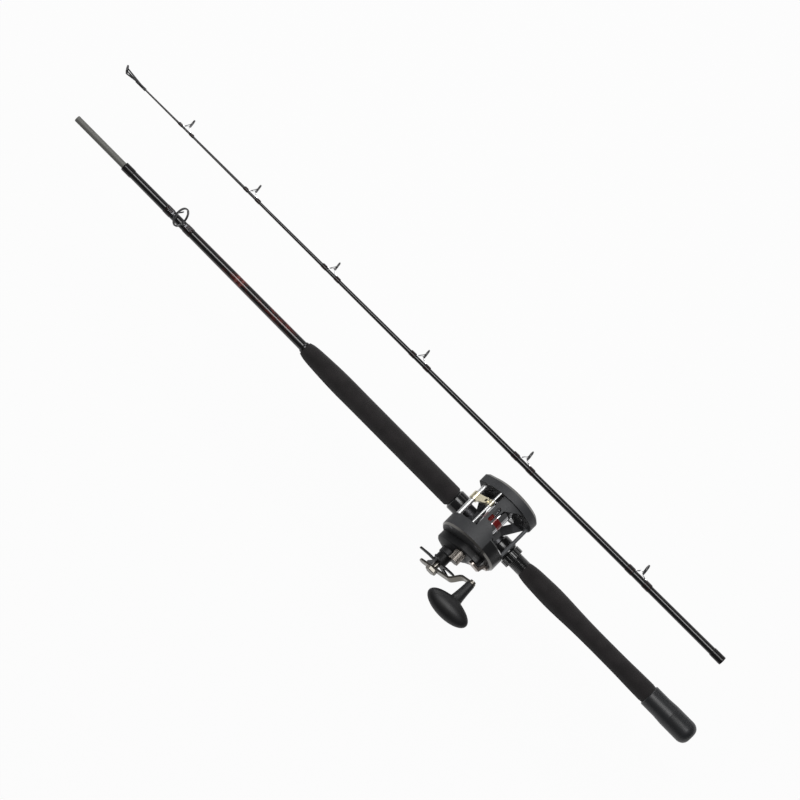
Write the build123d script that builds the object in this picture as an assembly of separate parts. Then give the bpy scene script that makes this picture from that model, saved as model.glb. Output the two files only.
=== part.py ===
"""Two-piece boat fishing rod with a star-drag, level-wind reel, taken apart.

Millimetres. The origin is the centre of the butt cap's flat end. X runs along the butt section towards its
spigot, Z is up on the side that carries the reel, and Y points to the reel's handle. The tip section lies
beside the butt section, with its guides turned outwards.
"""

from build123d import *
import os
from math import acos, atan2, cos, degrees, hypot, pi, radians, sin, tan

# Fits
RUN = 0.05
PLAY = 0.3
SIDE_GAP = 0.4
QUARTER = 90.0

# Butt blank and spigot
BUTT_LENGTH = 1041.0
BLANK_START = 8.0
BLANK_BUTT_R = 8.85
BLANK_SHOULDER_R = 5.52
BLANK_WALL = 1.6
SPIGOT_R = 4.35
SPIGOT_ROOT_R = 4.6
SPIGOT_BORE_R = 2.6
SPIGOT_LENGTH = 87.0
SPIGOT_SEAT = 60.0
SPIGOT_CHAMFER = 0.9

# Butt cap
CAP_LENGTH = 78.0
CAP_R = 16.2
CAP_NECK_R = 15.2
CAP_END_R = 6.0
CAP_ROUND = 12.0
CAP_BAND = 28.0
CAP_TAPER = 15.0

# Grips: share of the grip's length, radius
REAR_GRIP = [(0.0, 13.9), (0.1, 13.6), (0.22, 13.0), (0.36, 12.8), (0.51, 13.0), (0.61, 13.7), (0.69, 14.5),
             (0.77, 14.9), (0.87, 14.2), (0.95, 13.1), (1.0, 11.3)]
FORE_GRIP_LENGTH = 273.0
FORE_GRIP_R = 14.6
FORE_GRIP_BEVEL = 3.0
FORE_GRIP_STRAIGHT = 213.0
FORE_GRIP_NOSE = [(0.33, 13.9), (0.55, 13.2), (0.77, 12.3), (0.91, 11.1)]
FORE_GRIP_NOSE_R = 9.4
FORE_GRIP_NOSE_SLOPE = 1.6
CHECK_LENGTH = 4.0
CHECK_R = 7.9

# Reel seat and hoods
SEAT_START = 307.0
SEAT_LENGTH = 129.0
SEAT_R = 11.1
HOOD_R = 15.0
HOOD_BEVEL = 2.0
FIXED_HOOD_LENGTH = 20.0
SLIDING_HOOD_LENGTH = 20.0
FOOT_TUCK = 9.0
NUT_LENGTH = 10.0
NUT_R = 14.9
NUT_FLUTES = 18
NUT_FLUTE_R = 1.2
NUT_GAP = 0.4

# Reel foot
FOOT_WIDTH = 18.0
FOOT_THICK = 2.2
FOOT_FRONT = 44.0
FOOT_REAR = 35.0
FOOT_PAD_LENGTH = 40.0
FOOT_PAD_TOP = 14.2
FOOT_SCREW_R = 1.5
FOOT_SCREW_HEAD_R = 2.6
FOOT_SCREW_HEAD = 1.4
FOOT_SCREW_DEPTH = 2.4
FOOT_SCREW_X = 13.0
FOOT_SCREW_Y = 5.0

# Reel frame, from the spool axis
FRAME_R = 43.5
FRAME_HALF = 27.0
WALL = 3.0
RIM = 3.0
HANDLE_RING_END = 43.0
TAIL_RING_END = 38.0
SPOOL_HOLE_GAP = 0.7
BRIDGE_R = 39.7
BRIDGE_THICK = 4.5
BRIDGE_FRONT = 12.5
BRIDGE_REAR = 0.0
BRIDGE_FLARE = -21.0
BRIDGE_FLAT_HALF = 11.3
BRIDGE_SLOT_X = 5.4
BRIDGE_SLOT_LENGTH = 23.0
BRIDGE_SLOT_WIDTH = 5.6
REAR_BAR_X = -38.8
REAR_BAR_Z = 1.0
REAR_BAR_R = 2.5
BASE_THICK = 3.0
BASE_SPOOL_GAP = 1.5
BASE_LENGTH = 44.0
BASE_WIDTH = 22.0
BASE_ARM_WIDTH = 12.0
BASE_ARM_THICK = 4.0
BASE_ARM_X = 18.0
BASE_ARM_Y = 9.0
BASE_ARM_ANGLE = radians(35)
EMBED = 1.0

# Plates
PLATE = 4.0
PLATE_BEVEL = 2.4
TAIL_BEVEL = 3.6
TAIL_BOSS_R = 10.0
TAIL_BOSS = 2.5
TAIL_BEARING_SINK = 0.4
INNER_PLATE = 2.4
INNER_PLATE_R = 12.0
SCREW_CIRCLE_R = 37.0
SCREW_POST_R = 3.6
SCREW_R = 1.4
SCREW_DEPTH = 7.0
SCREW_HEAD_R = 2.6
SCREW_HEAD = 1.6
GEAR_SCREW_ANGLES = (28, 100, 172, 240)
TAIL_SCREW_ANGLES = (60, 140, 232, 300)

# Spool and its shaft
ARBOR_R = 13.5
FLANGE_R = 30.5
FLANGE_THICK = 3.0
FLANGE_DISH = 2.5
SPOOL_END_GAP = 1.0
SPOOL_WALL = 1.8
SPOOL_HUB_R = 6.0
SPOOL_WEB = 3.0
SHAFT_R = 3.0
SHAFT_TIP_R = 2.0
BEARING_R = 6.0
BEARING_WIDTH = 3.2

# Gears
PRESSURE_ANGLE = radians(25)
ADDENDUM = 0.8
DEDENDUM = 1.05
BACKLASH = 0.12
DRIVE_MODULE = 0.75
MAIN_TEETH = 50
PINION_TEETH = 11
HANDLE_AXIS_ANGLE = radians(-61)
MAIN_GEAR_WIDTH = 4.0
WIND_MODULE = 0.8
WIND_DRIVE_TEETH = 12
IDLER_TEETH = 32
WORM_TEETH = 20
WORM_ANGLE = radians(7.5)
WIND_GEAR_WIDTH = 3.2
WIND_GEAR_SIDE = 2.5
GEAR_GAP = 0.5

# Pinion clutch
PINION_LENGTH = 7.0
PINION_NECK_R = 3.0
PINION_NECK = 1.6
PINION_FLANGE_R = 4.1
PINION_FLANGE = 0.8
PINION_ROOM_R = 5.3
CLUTCH_TRAVEL = 2.0
YOKE_THICK = 1.2
YOKE_HALF_WIDTH = 10.0
YOKE_BACK = 8.0
YOKE_FORK_HALF = 5.6
YOKE_FORK_REACH = 2.0
YOKE_POST_R = 1.2
YOKE_POST_T = 7.9
YOKE_POST_N = -5.0

# Gear cover
COVER_WALL = 1.8
COVER_R = 25.0
COVER_SHOULDER_R = 23.4
COVER_SHOULDER = 9.0
COVER_EDGE = 2.0
COVER_STEP = 9.8
COVER_DOME = 15.0
COVER_DOME_R = 13.0
COVER_SPOOL_R = 15.0
COVER_LEVER_R = 8.0
COVER_BOSS_R = 11.0
COVER_BOSS = 8.0
CLUTCH_RING_R = 8.8
CLUTCH_RING_LENGTH = 9.0
DRAG_R = 11.4
DRAG_WASHER = 1.0
DRAG_WASHERS = 4

# Cast control
CAST_BOSS_R = 6.6
CAST_BOSS = 12.5
CAST_CAP_R = 7.75
CAST_CAP_END = 3.2
CAST_CAP_FLUTES = 20
CAST_CAP_FLUTE_R = 0.55
CAST_BITE_GAP = 1.0

# Handle
SLEEVE_R = 4.5
STAR_HUB_R = 9.6
STAR_HUB_LENGTH = 11.6
STAR_ARMS = 5
STAR_R = 31.0
STAR_ARM_WIDTH = 8.0
STAR_TIP_WIDTH = 5.5
STAR_THICK = 2.2
STAR_BEND_R = 17.0
STAR_BEND = 1.4
ARM_Y = 91.0
ARM_THICK = 3.0
ARM_WIDTH = 13.0
ARM_END_WIDTH = 11.0
ARM_COUNTER = 24.0
ARM_RADIUS = 61.0
ARM_STEP = 12.2
ARM_STEP_RUN = 8.0
ARM_FLAT = 19.0
CRANK_ANGLE = 141.0
NUT_FLATS = 14.0
NUT_HEIGHT = 5.0
NUT_BORE = 2.0
NUT_CHAMFER_SHARE = 0.2
SPINDLE_R = 2.6
SPINDLE_HEAD_R = 4.2
SPINDLE_HEAD = 2.2
SPINDLE_LENGTH = 36.0
KNOB_NECK_R = 6.0
KNOB_NECK_END_R = 9.0
KNOB_NECK = 29.2
KNOB_NECK_SINK = 1.5
KNOB_WAIST_R = 7.0
KNOB_LENGTH = 67.0
KNOB_DEPTH = 30.0
KNOB_HEIGHT = 26.0

# Level wind
WORM_R = 2.4
WORM_JOURNAL_R = 1.5
WORM_END = 6.5
BUSH_R = 3.0
IDLER_PIN_R = 2.0
SHIELD_R = 3.5
SHIELD_BORE_R = 2.7
SHIELD_SLOT = 3.2
SHIELD_SEAT = 1.0
GUIDE_BAR_R = 1.5
GUIDE_BAR_X = 18.2
GUIDE_BAR_Z = 36.0
CARRIAGE_Y = -8.0
CARRIAGE_HALF = 5.5
CARRIAGE_R = 5.6
CARRIAGE_TOP_R = 3.4
CARRIAGE_TOP_HALF = 3.6
CARRIAGE_THICK = 4.0
EYE_SHARE = 0.74
EYE_R = 2.4
EYE_RIM_R = 4.6
EYE_RIM = 6.0
PAWL_R = 1.3
PAWL_GAP = 0.25
PAWL_BOSS_R = 3.2
PAWL_BOSS = 5.0
PAWL_CAP = 1.6

# Free-spool lever, on the gear cover's step
LEVER_X = -20.0
LEVER_Z = 6.0
LEVER_THICK = 3.0
LEVER_BOSS_R = 5.0
LEVER_PAD_X = -35.0
LEVER_PAD_Z = 2.0
LEVER_PAD_R = 4.5
LEVER_PAD_GAP = 0.6
LEVER_BEND = 8.7
LEVER_BEND_RUN = 2.2
LEVER_SHAFT_R = 2.5
LEVER_CAM_R = 5.0
LEVER_CAM = 3.0

# Clicker on the tail plate
CLICK_ANGLE = 210.0
CLICK_DISTANCE = 22.0
CLICK_TRAVEL = 5.0
CLICK_BUTTON_R = 5.5
CLICK_BUTTON = 3.6
CLICK_STEM = 4.0
CLICK_TONGUE = 1.5
RATCHET_R = 6.0
RATCHET_ROOT_R = 4.9
RATCHET_TEETH = 14

# Tip section, from its socket mouth
TIP_PLACE_X = 39.0
TIP_PLACE_Y = -102.0
TIP_PLACE_ANGLE = 0.55
TIP_LENGTH = 1069.0
TIP_SOCKET_R = 5.45
TIP_END_R = 1.05
SOCKET_GAP = 0.03
SOCKET_EXTRA = 3.0

# Wraps: thickness over what they bind
WRAP = 0.4
WRAP_EDGE = 0.2
WRAP_GAP = 0.02
WRAP_TAPER = 2.0
SHOULDER_WRAP_LENGTH = 16.0
SHOULDER_WRAP = 0.65
SOCKET_WRAP_LENGTH = 19.0
SOCKET_WRAP = 0.7

# Guides: ring radius, ring height over the axis, reach of a foot, lean of the ring
BUTT_GUIDE_BACK = 100.0
BUTT_GUIDE = (14.0, 20.5, 22.0, 30.0)
TIP_GUIDE_SHARES = [0.144, 0.3415, 0.518, 0.67, 0.8045, 0.917]
TIP_GUIDES = [(8.0, 15.0, 19.0, 8.0), (7.5, 14.0, 17.0, 8.0), (7.0, 13.2, 15.5, 8.0), (6.75, 12.6, 14.0, 8.0),
              (6.5, 12.0, 12.5, 8.0), (6.5, 11.3, 11.5, 8.0)]
GUIDE_HOLDER = 0.9
GUIDE_HOLDER_WIDTH = 1.8
GUIDE_RING = 1.3
GUIDE_RING_WIDTH = 2.8
GUIDE_WIRE_R = 0.55
GUIDE_FOOT_SHARE = 0.62
GUIDE_FOOT_WIDTH = 2.6
GUIDE_FOOT = 0.8
BUTT_WIRE_R = 0.95
BUTT_FOOT_WIDTH = 4.0
BUTT_FOOT = 1.1
LEG_ANGLE = radians(80)
REAR_LEG_ANGLE = radians(13.3)

# Tip-top
TOP_TUBE_R = 1.9
TOP_TUBE_LENGTH = 15.0
TOP_TUBE_PAST = 2.0
TOP_RING_R = 6.0
TOP_RING_AHEAD = 21.0
TOP_RING_RISE = 2.4
TOP_LEAN = 34.0
TOP_WIRE_R = 1.0

# Places worked out from the sizes above
SEAT_END = SEAT_START + SEAT_LENGTH
REEL_X = SEAT_END - FIXED_HOOD_LENGTH + FOOT_TUCK - FOOT_FRONT
BASE_TOP = -FLANGE_R - BASE_SPOOL_GAP
REEL_Z = FOOT_PAD_TOP + BASE_THICK - BASE_TOP
FOOT_X0 = REEL_X - FOOT_REAR
FOOT_X1 = REEL_X + FOOT_FRONT
HOOD_X1 = FOOT_X0 + FOOT_TUCK
HOOD_X0 = HOOD_X1 - SLIDING_HOOD_LENGTH
NUT_X1 = HOOD_X0 - NUT_GAP
FORE_GRIP_END = SEAT_END + FORE_GRIP_LENGTH
SPOOL_HOLE_R = FLANGE_R + SPOOL_HOLE_GAP
DRIVE_DISTANCE = DRIVE_MODULE * (MAIN_TEETH + PINION_TEETH) / 2
HANDLE_X = DRIVE_DISTANCE * cos(HANDLE_AXIS_ANGLE)
HANDLE_Z = DRIVE_DISTANCE * sin(HANDLE_AXIS_ANGLE)
IDLER_DISTANCE = WIND_MODULE * (WIND_DRIVE_TEETH + IDLER_TEETH) / 2
WORM_DISTANCE = IDLER_DISTANCE + WIND_MODULE * (IDLER_TEETH + WORM_TEETH) / 2
IDLER_X = IDLER_DISTANCE * cos(WORM_ANGLE)
IDLER_Z = IDLER_DISTANCE * sin(WORM_ANGLE)
WORM_X = WORM_DISTANCE * cos(WORM_ANGLE)
WORM_Z = WORM_DISTANCE * sin(WORM_ANGLE)
WORM_GEAR_TIP_R = WIND_MODULE * (WORM_TEETH / 2 + ADDENDUM)
LOBE_R = WORM_GEAR_TIP_R + GEAR_GAP + RIM / 2
GEAR_PLATE_Y = HANDLE_RING_END
COVER_Y = GEAR_PLATE_Y + PLATE
BEARING_Y = GEAR_PLATE_Y + BEARING_WIDTH
PINION_Y = BEARING_Y + SIDE_GAP
PINION_NECK_Y = PINION_Y + PINION_FLANGE
PINION_TEETH_Y = PINION_NECK_Y + PINION_NECK
MAIN_GEAR_Y = PINION_TEETH_Y + SIDE_GAP
DRAG_Y = MAIN_GEAR_Y + MAIN_GEAR_WIDTH
STEP_Y = COVER_Y + COVER_STEP
BOSS_Y = COVER_Y + COVER_DOME + COVER_BOSS
CLUTCH_RING_Y = BOSS_Y - CLUTCH_RING_LENGTH
STAR_Y = BOSS_Y + PLAY
STAR_ARM_Y = STAR_Y + STAR_HUB_LENGTH
ARM_LOW_Y = ARM_Y - ARM_STEP
ARM_STEP_START = ARM_RADIUS - ARM_FLAT - ARM_STEP_RUN
KNOB_Y = ARM_LOW_Y + ARM_THICK + PLAY
KNOB_CENTRE_Y = KNOB_Y + KNOB_NECK + KNOB_DEPTH / 2 - KNOB_NECK_SINK
SPINDLE_END = KNOB_Y + SPINDLE_LENGTH
TAIL_PLATE_Y = -TAIL_RING_END - PLATE
TAIL_BOSS_Y = TAIL_PLATE_Y - TAIL_BOSS
SPOOL_END = FRAME_HALF + WALL - SPOOL_END_GAP
WIND_GEAR_Y0 = -FRAME_HALF - WALL - WIND_GEAR_SIDE - WIND_GEAR_WIDTH
WIND_GEAR_Y1 = WIND_GEAR_Y0 + WIND_GEAR_WIDTH
RATCHET_Y0 = -TAIL_RING_END + PLAY
RATCHET_Y1 = RATCHET_Y0 + CLICK_TONGUE
TAIL_BEARING_Y = TAIL_PLATE_Y - TAIL_BEARING_SINK
CAST_Y = STEP_Y + CAST_BOSS
PINION_ROOM_Y = PINION_TEETH_Y + PINION_LENGTH + CLUTCH_TRAVEL + PLAY
PAWL_CAP_Z = WORM_Z - SHIELD_R - PAWL_BOSS
REEL = Pos(REEL_X, 0, REEL_Z)
TIP = Pos(TIP_PLACE_X, TIP_PLACE_Y, 0) * Rot(0, 0, TIP_PLACE_ANGLE) * Rot(90, 0, 0)


def blank_radius(x):
    """Outer radius of the butt blank at x."""
    return BLANK_BUTT_R + (BLANK_SHOULDER_R - BLANK_BUTT_R) * x / BUTT_LENGTH


def tip_radius(x):
    """Outer radius of the tip blank at x from its socket."""
    return TIP_SOCKET_R + (TIP_END_R - TIP_SOCKET_R) * x / TIP_LENGTH


def lathe(axis, *curves):
    """Solid turned about an axis from the closed outline that the curves make."""
    return revolve(make_face([edge for curve in curves for edge in curve.edges()]), axis)


def lathe_x(*points):
    """Solid turned about X from (x, radius) points."""
    return lathe(Axis.X, Polyline(*points, close=True))


def lathe_y(*points):
    """Solid turned about Y from (y, radius) points."""
    return lathe(Axis.Y, Polyline(*[(radius, y) for y, radius in points], close=True))


def slab(sketch, y0, y1):
    """Sketch drawn in (x, z), extruded from y0 to y1."""
    plane = Plane(origin=(0, y1, 0), x_dir=(1, 0, 0), z_dir=(0, -1, 0))
    return plane * extrude(sketch, y1 - y0)


def disc(radius, x=0.0, z=0.0):
    """Circle in (x, z)."""
    return Pos(x, z) * Circle(radius)


def rod_y(radius, y0, y1, x=0.0, z=0.0):
    """Cylinder along Y."""
    return slab(disc(radius, x, z), y0, y1)


def block(x0, x1, y0, y1, z0, z1):
    """Box between two corners."""
    return Pos((x0 + x1) / 2, (y0 + y1) / 2, (z0 + z1) / 2) * Box(x1 - x0, y1 - y0, z1 - z0)


def strut(start, end, radius):
    """Round bar between two points."""
    start = Vector(*start)
    along = Vector(*end) - start
    return Plane(origin=start, z_dir=along) * Pos(0, 0, along.length / 2) * Cylinder(radius, along.length)


def polar(radius, angle):
    """Point in (x, z) at an angle from +X towards +Z."""
    return (radius * cos(angle), radius * sin(angle))


def hull(*circles):
    """Outline round several (radius, x, z) circles."""
    return make_hull([edge for circle in circles for edge in disc(*circle).edges()])


# Gears

def gear_outline(teeth, module, phase):
    """Spur gear outline with one tooth centred on the phase angle."""
    pitch_r = module * teeth / 2
    base_r = pitch_r * cos(PRESSURE_ANGLE)
    tip_r = pitch_r + ADDENDUM * module
    root_r = pitch_r - DEDENDUM * module
    thick = pi * module / 2 - BACKLASH / 2

    def involute(radius):
        angle = acos(base_r / max(radius, base_r))
        return tan(angle) - angle

    def half_angle(radius):
        return thick / (2 * pitch_r) + involute(pitch_r) - involute(radius)

    radii = [root_r] + ([base_r] if base_r > root_r else []) + [pitch_r, tip_r]
    points = []
    for tooth in range(teeth):
        centre = phase + 2 * pi * tooth / teeth
        points += [polar(radius, centre - half_angle(radius)) for radius in radii]
        points += [polar(radius, centre + half_angle(radius)) for radius in reversed(radii)]
    return make_face(Polyline(*points, close=True))


def gear(teeth, module, phase, y0, y1, bore_r, x=0.0, z=0.0):
    """Spur gear on an axis along Y."""
    return slab(Pos(x, z) * (gear_outline(teeth, module, phase) - Circle(bore_r)), y0, y1)


def meshed_phase(phase, teeth, mate_teeth, direction):
    """Phase of the mate that lies in a direction from this gear, so that their teeth mesh."""
    return direction + pi + pi / mate_teeth - (phase - direction) * teeth / mate_teeth


# Butt section

def butt_blank():
    start_r = blank_radius(BLANK_START)
    seat = BUTT_LENGTH - SPIGOT_SEAT
    return lathe_x((BLANK_START, start_r - BLANK_WALL), (BLANK_START, start_r),
                   (BUTT_LENGTH, BLANK_SHOULDER_R), (BUTT_LENGTH, SPIGOT_ROOT_R), (seat, SPIGOT_ROOT_R))


def ferrule_spigot():
    seat = BUTT_LENGTH - SPIGOT_SEAT
    end = BUTT_LENGTH + SPIGOT_LENGTH
    return lathe_x((seat, SPIGOT_BORE_R), (seat, SPIGOT_ROOT_R), (BUTT_LENGTH, SPIGOT_ROOT_R),
                   (BUTT_LENGTH, SPIGOT_R), (end - SPIGOT_CHAMFER, SPIGOT_R),
                   (end, SPIGOT_R - SPIGOT_CHAMFER), (end, SPIGOT_BORE_R))


def butt_cap():
    start_r = blank_radius(BLANK_START)
    rise = CAP_R - CAP_END_R
    dome = EllipticalCenterArc((CAP_ROUND, CAP_END_R), CAP_ROUND, rise, QUARTER, arc_size=QUARTER)
    outline = Polyline((CAP_ROUND, CAP_R), (CAP_ROUND + CAP_BAND, CAP_R),
                       (CAP_ROUND + CAP_BAND + CAP_TAPER, CAP_NECK_R), (CAP_LENGTH, CAP_NECK_R),
                       (CAP_LENGTH, blank_radius(CAP_LENGTH)), (BLANK_START, start_r), (BLANK_START, 0),
                       (0, 0), (0, CAP_END_R))
    return lathe(Axis.X, dome, outline)


def rear_grip():
    length = SEAT_START - CAP_LENGTH
    profile = [(CAP_LENGTH + share * length, radius) for share, radius in REAR_GRIP]
    bore = Polyline(profile[-1], (SEAT_START, blank_radius(SEAT_START)),
                    (CAP_LENGTH, blank_radius(CAP_LENGTH)), profile[0])
    return lathe(Axis.X, Spline(*profile), bore)


def fore_grip():
    nose = SEAT_END + FORE_GRIP_STRAIGHT
    nose_length = FORE_GRIP_END - nose
    curve = [(nose, FORE_GRIP_R)] + [(nose + share * nose_length, radius) for share, radius in FORE_GRIP_NOSE]
    curve.append((FORE_GRIP_END, FORE_GRIP_NOSE_R))
    rest = Polyline(curve[-1], (FORE_GRIP_END, blank_radius(FORE_GRIP_END)),
                    (SEAT_END, blank_radius(SEAT_END)), (SEAT_END, FORE_GRIP_R - FORE_GRIP_BEVEL),
                    (SEAT_END + FORE_GRIP_BEVEL, FORE_GRIP_R), curve[0])
    return lathe(Axis.X, Spline(*curve, tangents=[(1, 0), (1, -FORE_GRIP_NOSE_SLOPE)]), rest)


def winding_check():
    end = FORE_GRIP_END + CHECK_LENGTH
    return lathe_x((FORE_GRIP_END, blank_radius(FORE_GRIP_END)), (FORE_GRIP_END, CHECK_R),
                   (FORE_GRIP_END + CHECK_LENGTH / 2, CHECK_R), (end, blank_radius(end) + WRAP),
                   (end, blank_radius(end)))


def foot_blade(x0, x1, extra=0.0):
    """Curved tongue of the reel foot on the seat, or with extra room the pocket for it."""
    outer_r = SEAT_R + FOOT_THICK + extra
    half = FOOT_WIDTH / 2 + extra
    ring = lathe_x((x0, SEAT_R), (x0, outer_r), (x1, outer_r), (x1, SEAT_R))
    return ring & block(x0, x1, -half, half, 0, outer_r)


def reel_seat():
    hood = SEAT_END - FIXED_HOOD_LENGTH
    body = lathe_x((SEAT_START, blank_radius(SEAT_START)), (SEAT_START, SEAT_R), (hood, SEAT_R),
                   (hood, HOOD_R - HOOD_BEVEL), (hood + HOOD_BEVEL, HOOD_R), (SEAT_END - HOOD_BEVEL, HOOD_R),
                   (SEAT_END, HOOD_R - HOOD_BEVEL), (SEAT_END, blank_radius(SEAT_END)))
    return body - foot_blade(hood - EMBED, FOOT_X1 + RUN, RUN)


def sliding_hood():
    bore_r = SEAT_R + RUN
    body = lathe_x((HOOD_X0, bore_r), (HOOD_X0, HOOD_R - HOOD_BEVEL), (HOOD_X0 + HOOD_BEVEL, HOOD_R),
                   (HOOD_X1 - HOOD_BEVEL, HOOD_R), (HOOD_X1, HOOD_R - HOOD_BEVEL), (HOOD_X1, bore_r))
    return body - foot_blade(FOOT_X0 - PLAY, HOOD_X1 + EMBED, PLAY)


def lock_nut():
    start = NUT_X1 - NUT_LENGTH
    flutes = PolarLocations(NUT_R + NUT_FLUTE_R / 3, NUT_FLUTES) * Circle(NUT_FLUTE_R)
    face = Circle(NUT_R) - flutes - Circle(SEAT_R + RUN)
    return Plane(origin=(start, 0, 0), x_dir=(0, 1, 0), z_dir=(1, 0, 0)) * extrude(face, NUT_LENGTH)


# Guides, on a blank along X with the ring above it

def ring_lining(outer_r):
    """Hard ring set in a guide's holder, with bevelled edges."""
    half = GUIDE_RING_WIDTH / 2
    bevel = GUIDE_RING / 3
    inner_r = outer_r - GUIDE_RING
    return lathe_x((-half, outer_r), (half, outer_r), (half, inner_r + bevel), (half - bevel, inner_r),
                   (bevel - half, inner_r), (-half, inner_r + bevel))


def guide_parts(x, ring_r, height, reach, lean, radius_at, wire_r, foot_width, foot):
    """Frame, ring and two thread wraps of one guide."""
    tilt = Pos(x, 0, height) * Rot(0, lean, 0)
    holder_r = ring_r - GUIDE_HOLDER
    half = GUIDE_HOLDER_WIDTH / 2
    frame = tilt * lathe_x((-half, holder_r), (-half, ring_r), (half, ring_r), (half, holder_r))
    ring = tilt * ring_lining(holder_r)
    up = Vector(sin(radians(lean)), 0, cos(radians(lean)))
    middle_r = ring_r - GUIDE_HOLDER / 2
    foot_length = reach * GUIDE_FOOT_SHARE
    blank = lathe_x(*[(x + end * 2 * reach, radius) for end, radius in (
        (-1, 0), (-1, radius_at(x - 2 * reach)), (1, radius_at(x + 2 * reach)), (1, 0))])
    wraps = []
    for side in (-1, 1):
        inner = x + side * (reach - foot_length)
        outer = x + side * reach
        base = max(radius_at(inner), radius_at(outer))
        top = base + foot
        profile = make_face(Polyline((inner, base), (inner, top), (outer - side * 2 * foot, top),
                                     (outer, base + foot / 2), (outer, base), close=True))
        frame += slab(profile, -foot_width / 2, foot_width / 2)
        angles = (-LEG_ANGLE, LEG_ANGLE) if side > 0 else (-REAR_LEG_ANGLE, REAR_LEG_ANGLE)
        for angle in angles:
            start = Vector(x, middle_r * sin(angle), height) - up * (middle_r * cos(angle))
            width = foot_width / 2 - wire_r
            end = Vector(inner + side * wire_r * 2, width if angle > 0 else -width, base + foot / 2)
            frame += strut(start, end, wire_r)
        low, high = sorted((inner + side * wire_r * 4, outer + side * WRAP_TAPER))
        wraps.append(wrap(low, high, radius_at, foot + WRAP))
    room = tilt * Rot(0, QUARTER, 0) * Cylinder(holder_r, 4 * GUIDE_RING_WIDTH)
    frame = frame - blank - room
    return frame, ring, [piece - frame for piece in wraps]


def wrap(x0, x1, radius_at, thick):
    """Thread wrap under varnish, tapered at both ends."""
    points = [(x0, 0), (x0, WRAP_EDGE), (x0 + WRAP_TAPER, thick), (x1 - WRAP_TAPER, thick), (x1, WRAP_EDGE),
              (x1, 0)]
    return lathe_x(*[(x, radius_at(x) + WRAP_GAP + rise) for x, rise in points])


def butt_guide():
    place = BUTT_LENGTH - BUTT_GUIDE_BACK
    wire = (BUTT_WIRE_R, BUTT_FOOT_WIDTH, BUTT_FOOT)
    frame, ring, wraps = guide_parts(place, *BUTT_GUIDE, blank_radius, *wire)
    wraps.append(wrap(BUTT_LENGTH - SHOULDER_WRAP_LENGTH, BUTT_LENGTH, blank_radius, SHOULDER_WRAP))
    return frame, ring, wraps


# Tip section, along X from the socket mouth

def tip_blank():
    bore_r = SPIGOT_R + SOCKET_GAP
    depth = SPIGOT_LENGTH + SOCKET_EXTRA
    return lathe_x((0, bore_r), (0, TIP_SOCKET_R), (TIP_LENGTH, TIP_END_R), (TIP_LENGTH, 0),
                   (depth + bore_r, 0), (depth, bore_r))


def tip_top():
    """Tube with a leaning ring on wire stays, and the ring's lining."""
    start = TIP_LENGTH - TOP_TUBE_LENGTH
    end = TIP_LENGTH + TOP_TUBE_PAST
    tube = lathe_x((start, 0), (start, TOP_TUBE_R), (end, TOP_TUBE_R), (end, 0))
    blank = lathe_x((0, 0), (0, TIP_SOCKET_R), (TIP_LENGTH, TIP_END_R), (TIP_LENGTH, 0))
    centre = Vector(TIP_LENGTH + TOP_RING_AHEAD, 0, TOP_RING_RISE)
    tilt = Pos(*centre) * Rot(0, TOP_LEAN, 0)
    holder_r = TOP_RING_R - GUIDE_HOLDER
    half = GUIDE_HOLDER_WIDTH / 2
    holder = lathe_x((-half, holder_r), (-half, TOP_RING_R), (half, TOP_RING_R), (half, holder_r))
    frame = tube + tilt * holder
    up = Vector(sin(radians(TOP_LEAN)), 0, cos(radians(TOP_LEAN)))
    middle_r = TOP_RING_R - GUIDE_HOLDER / 2
    for side in (-1, 1):
        root = Vector(start + TOP_TUBE_LENGTH / 3, side * (TOP_TUBE_R - TOP_WIRE_R / 2), 0)
        frame += strut(root, centre + Vector(0, side * middle_r, 0), TOP_WIRE_R)
    frame += strut(Vector(end - TOP_WIRE_R, 0, 0), centre - up * middle_r, TOP_WIRE_R)
    frame = frame - blank - tilt * Rot(0, QUARTER, 0) * Cylinder(holder_r, 4 * GUIDE_RING_WIDTH)
    return frame, tilt * ring_lining(holder_r)


# Reel frame, plates and covers, from the spool axis

def tail_outline(inset=0.0):
    """Round tail plate with a lobe in front over the worm gear."""
    return hull((FRAME_R - inset, 0, 0), (LOBE_R - inset / 2, WORM_X, WORM_Z))


def screw_places(angles):
    return [polar(SCREW_CIRCLE_R, radians(angle)) for angle in angles]


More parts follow.
